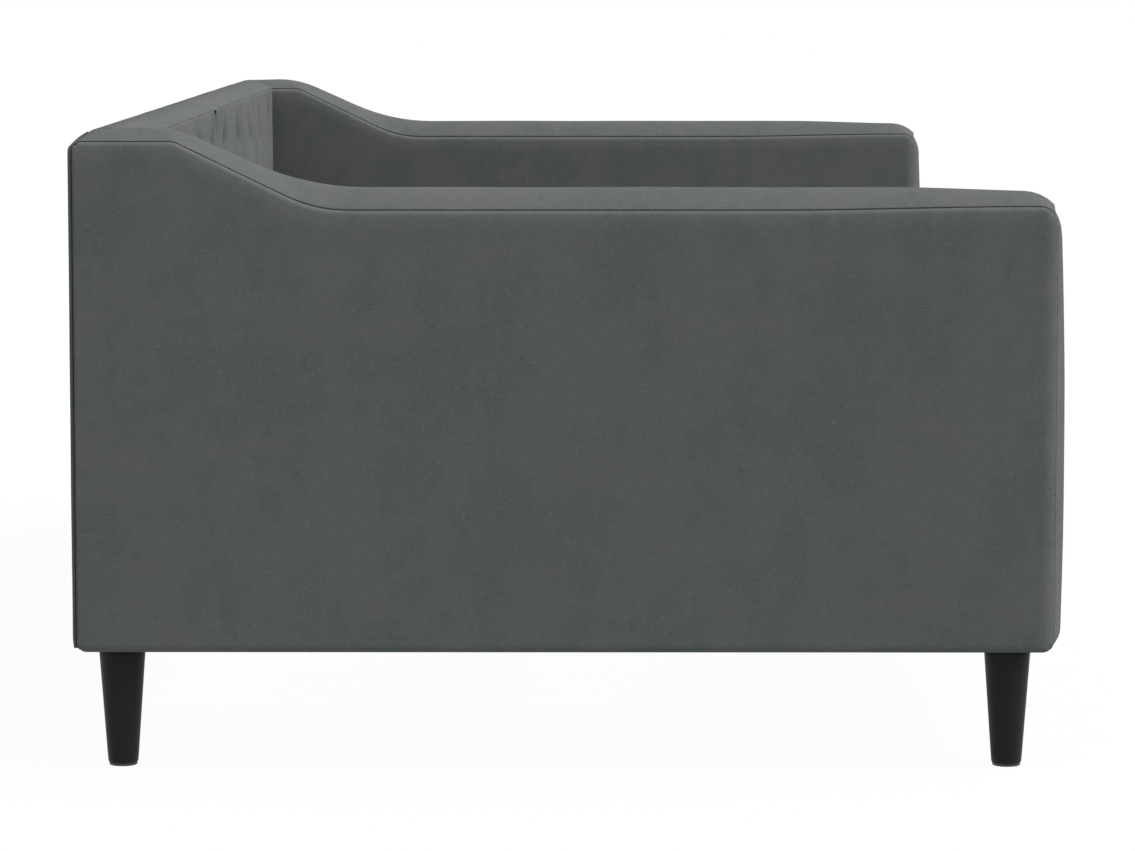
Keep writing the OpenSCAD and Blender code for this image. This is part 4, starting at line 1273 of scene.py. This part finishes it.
strap_x = np.linspace(strap_low.x, strap_high.x, 480)
strap_middles = (strap_low.y + strap_w / 2, strap_high.y - strap_w / 2)
strap_ring = ((-0.5, 0.15), (-0.46, 0), (0.46, 0), (0.5, 0.15),
              (0.5, 0.85), (0.46, 1), (-0.46, 1), (-0.5, 0.85))  # share of width and of thickness
around = len(strap_ring)
strap_points, strap_faces, strap_uv = [], [], []
for middle_y in strap_middles:
    first = len(strap_points)
    for x, drop in zip(strap_x, strap_height(strap_x)):
        strap_points += [(x, middle_y + u * strap_w, strap_low.z - drop + v * strap_t) for u, v in strap_ring]
    sides = tube_faces(len(strap_x), around, first)
    caps = [tuple(range(start, start + around)) for start in (first, len(strap_points) - around)]
    strap_faces += sides + caps
    strap_uv += uv_of(strap_points, sides, 0, 1) + uv_of(strap_points, caps, 1, 2)
straps = new_piece("Slat_webbing", strap_points, strap_faces, strap_uv, webbing)
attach(straps, "root")
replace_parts(straps, "slat_straps")

staple_places = [(slat_low.x + slat_width / 2 + i * slat_pitch + side, middle_y, strap_high.z + 0.0002)
                 for middle_y in strap_middles for i in range(slat_count) for side in (-0.012, 0.012)]
strap_staples = from_tree("Webbing_staples", staple_row,
                          {"Pitch": 0.0501, "Size": (0.0008, 0.0006, staple_long), "Finish": staple_steel},
                          polylines([([(x, y, z), (x, y + 0.0002, z)], False) for x, y, z in staple_places]))
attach(strap_staples, "root")

# ------------------------------------------------------------------ Screws of the slats
# A pan-head wood screw 4 x 30 mm goes through each end of each slat. The head is pressed steel
# with a cross recess, zinc plated.

zinc, tree, shader, scuffs = two_tone("Zinc_plated_steel", "#a3a8ad", "#c6cacc",
                                      {"Scale": 90.0, "Detail": 4.0}, {"Scale": 1200.0, "Detail": 2.0},
                                      (0.00005, 0.4), Metallic=1.0)
rough = add(tree, "ShaderNodeMapRange", {"Value": scuffs.outputs["Fac"], "To Min": 0.26, "To Max": 0.46})
tree.links.new(rough.outputs[0], shader.inputs["Roughness"])

screw_head_r = 0.0045
screw_head_h = screw_high.z - slat_high.z
screw_shank_r = 0.0020
recess_half, recess_reach, recess_depth = 0.00055, 0.0021, 0.0015
screw_reach = screw_high.z - screw_low.z - screw_head_h  # from under the head to the tip
plain_shank, point_long = 0.006, 0.003
thread_turns = 14
thread_root, thread_crest = 0.30, 0.44  # share of the head's radius
thread_rise = 0.0008                    # from a root to the crest beside it
screw_inset = 0.012                     # of the screws from the ends of the slats


def screw_mesh():
    """One screw with its head at the origin: a dome with a cross recess on a threaded shank."""
    lines = np.array([-1, -0.92, -0.72, -0.48, -0.45, -0.14, -0.11, 0.11, 0.14, 0.45, 0.48, 0.72, 0.92, 1])
    u, v = np.meshgrid(lines, lines)
    x = screw_head_r * u * np.sqrt(1 - v * v / 2)
    y = screw_head_r * v * np.sqrt(1 - u * u / 2)
    r = np.hypot(x, y) / screw_head_r
    z = screw_head_h * (1 - 0.75 * r ** 3)
    cross = (((np.abs(x) < recess_half) & (np.abs(y) < recess_reach))
             | ((np.abs(y) < recess_half) & (np.abs(x) < recess_reach)))
    z = np.where(cross, screw_head_h - recess_depth, z)
    points = [tuple(p) for p in np.stack([x, y, z], -1).reshape(-1, 3)]
    count = len(lines)
    faces = grid_faces(np.arange(count * count).reshape(count, count))
    ring = list(round_the_edge(count, count))
    steps = [(1.0, 0.0), (screw_shank_r / screw_head_r, 0.0)]
    for k in range(thread_turns):
        low = plain_shank + k * (screw_reach - plain_shank - point_long) / thread_turns
        steps += [(thread_root, -low), (thread_crest, -low - thread_rise)]
    steps += [(thread_root, point_long - screw_reach), (0.03, -screw_reach)]
    for reach, height in steps:
        new = list(range(len(points), len(points) + len(ring)))
        for i in ring:
            way = math.atan2(points[i][1], points[i][0])
            r = screw_head_r * reach
            points.append((r * math.cos(way), r * math.sin(way), height))
        faces += list(zip(ring, ring[1:] + ring[:1], new[1:] + new[:1], new))
        ring = new
    faces.append(tuple(ring))
    return points, faces


def spread_tree():
    """A tree that puts a copy of one small mesh at each point."""
    tree, given = start_tree("Copies_at_places", "Copies",
                             Places="Geometry", Shape="Object", Finish="Material")
    points = add(tree, "GeometryNodeMeshToPoints", {"Mesh": given.outputs["Places"]})
    shape = add(tree, "GeometryNodeObjectInfo", {"Object": given.outputs["Shape"]})
    copies = add(tree, "GeometryNodeInstanceOnPoints",
                 {"Points": points.outputs[0], "Instance": shape.outputs["Geometry"]})
    return end_tree(tree, given, copies, "Copies")


one_points, one_faces = screw_mesh()
one_screw = new_piece("One_screw", one_points, one_faces, uv_of(one_points, one_faces, 0, 1), zinc)
screw_places = [(slat_low.x + slat_width / 2 + i * slat_pitch, y, slat_high.z)
                for i in range(slat_count) for y in (slat_high.y - screw_inset, slat_low.y + screw_inset)]
screws = from_tree("Slat_wood_screws", spread_tree(), {"Shape": one_screw, "Finish": zinc},
                   (screw_places, []))
bpy.data.objects.remove(one_screw)
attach(screws, "root")
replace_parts(screws, "slat_screws")

# ------------------------------------------------------------------ Steel fittings
# Pressed angle brackets and beam holders, flanged hexagon bolts, hanger studs and threaded
# inserts hold the frame and the legs. All are zinc plated and come from the CAD as they are.

for node in ("rail_brackets", "beam_holders", "bracket_bolts", "back_bolts", "leg_studs", "leg_nuts",
             "centre_leg_stud"):
    dress(node, zinc)

# ------------------------------------------------------------------ Legs
# Turned rubberwood legs taper straight from 50 to 32 mm and are sprayed with satin black
# lacquer, thin enough for the pores of the wood to show. Each screws on with its stud.

lacquer, tree, shader = start_material("Satin_black_lacquered_rubberwood", Roughness=0.5)
shader.inputs["Specular IOR Level"].default_value = 0.13
place = add(tree, "ShaderNodeTexCoord")
upright = add(tree, "ShaderNodeVectorMath", {0: place.outputs["Object"], 1: (1800.0, 1800.0, 70.0)},
              operation="MULTIPLY")
pores = add(tree, "ShaderNodeTexNoise", {"Vector": upright.outputs[0], "Scale": 1.0, "Detail": 3.0})
tint = add(tree, "ShaderNodeMix",
           {"Factor": pores.outputs["Fac"], 6: linear("#0c0d0d"), 7: linear("#131515")}, data_type="RGBA")
tree.links.new(tint.outputs[2], shader.inputs["Base Color"])
orange_peel = add(tree, "ShaderNodeTexNoise", {"Vector": place.outputs["Object"], "Scale": 500.0})
rough = add(tree, "ShaderNodeMapRange", {"Value": orange_peel.outputs["Fac"], "To Min": 0.42, "To Max": 0.56})
tree.links.new(rough.outputs[0], shader.inputs["Roughness"])
bump = add(tree, "ShaderNodeBump", {"Height": pores.outputs["Fac"], "Distance": 0.0001, "Strength": 0.5})
tree.links.new(bump.outputs[0], shader.inputs["Normal"])

leg_low, leg_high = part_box("corner_legs")
beam_leg_low, beam_leg_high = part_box("centre_leg")
leg_top_r = (beam_leg_high.x - beam_leg_low.x) / 2
leg_foot_r = 0.016
leg_bore_r, leg_bore_h = 0.0042, 0.030
lathe_steps = 72


def turned(name, places, profile, finish, node):
    """A solid of revolution at each (x, y), from its closed profile of (radius, height)."""
    points, faces = [], []
    for x, y in places:
        first = len(points)
        for r, z in profile:
            for s in range(lathe_steps):
                way = 2 * math.pi * s / lathe_steps
                points.append((x + r * math.cos(way), y + r * math.sin(way), z))
        faces += tube_faces(len(profile), lathe_steps, first)
        faces += [range(ring, ring + lathe_steps) for ring in (first, len(points) - lathe_steps)]
    piece = new_piece(name, points, faces, uv_of(points, faces, 0, 2), finish)
    piece.data.set_sharp_from_angle(angle=math.radians(50))
    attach(piece, "root")
    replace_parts(piece, node)
    return piece


def leg_profile(low, high):
    """Up the outside of a leg with an eased foot, over its flat top and down the stud's bore."""
    taper = (leg_top_r - leg_foot_r) / (high - low)
    foot = [(leg_foot_r - 0.0015, low), (leg_foot_r - 0.0006, low + 0.0003), (leg_foot_r, low + 0.0015)]
    rise = [(leg_foot_r + taper * (high - low) * k / 12, low + (high - low) * k / 12) for k in range(1, 12)]
    head = [(leg_top_r - 0.0001, high - 0.0008), (leg_top_r - 0.0008, high)]
    return foot + rise + head + [(leg_bore_r, high), (leg_bore_r, high - leg_bore_h)]


corners = [(x, y) for x in (leg_low.x + leg_top_r, leg_high.x - leg_top_r)
           for y in (leg_low.y + leg_top_r, leg_high.y - leg_top_r)]
beam_place = [((beam_leg_low.x + beam_leg_high.x) / 2, (beam_leg_low.y + beam_leg_high.y) / 2)]
turned("Turned_corner_legs", corners, leg_profile(leg_low.z, leg_high.z), lacquer, "corner_legs")
turned("Turned_centre_leg", beam_place, leg_profile(beam_leg_low.z, beam_leg_high.z), lacquer,
       "centre_leg")

# ------------------------------------------------------------------ Glides
# A moulded black plastic glide 3 mm thick is pinned under each leg. Its edge is rounded.

plastic = two_tone("Moulded_polyethylene_glide", "#141415", "#222224", {"Scale": 1500.0, "Detail": 2.0},
                   bump=(0.0001, 0.4), Roughness=0.45)[0]
glide_low, glide_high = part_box("centre_leg_glide")
glide_r, glide_h = (glide_high.x - glide_low.x) / 2, glide_high.z - glide_low.z
glide_profile = ([(0.003, 0.0004), (glide_r * 0.55, 0.0)]
                 + [(glide_r - 0.0012 + 0.0012 * math.sin(a), 0.0012 - 0.0012 * math.cos(a))
                    for a in np.linspace(0, math.pi / 2, 6)] + [(glide_r, glide_h), (0.003, glide_h)])
turned("Leg_glides", corners, glide_profile, plastic, "leg_glides")
turned("Centre_leg_glide", beam_place, glide_profile, plastic, "centre_leg_glide")
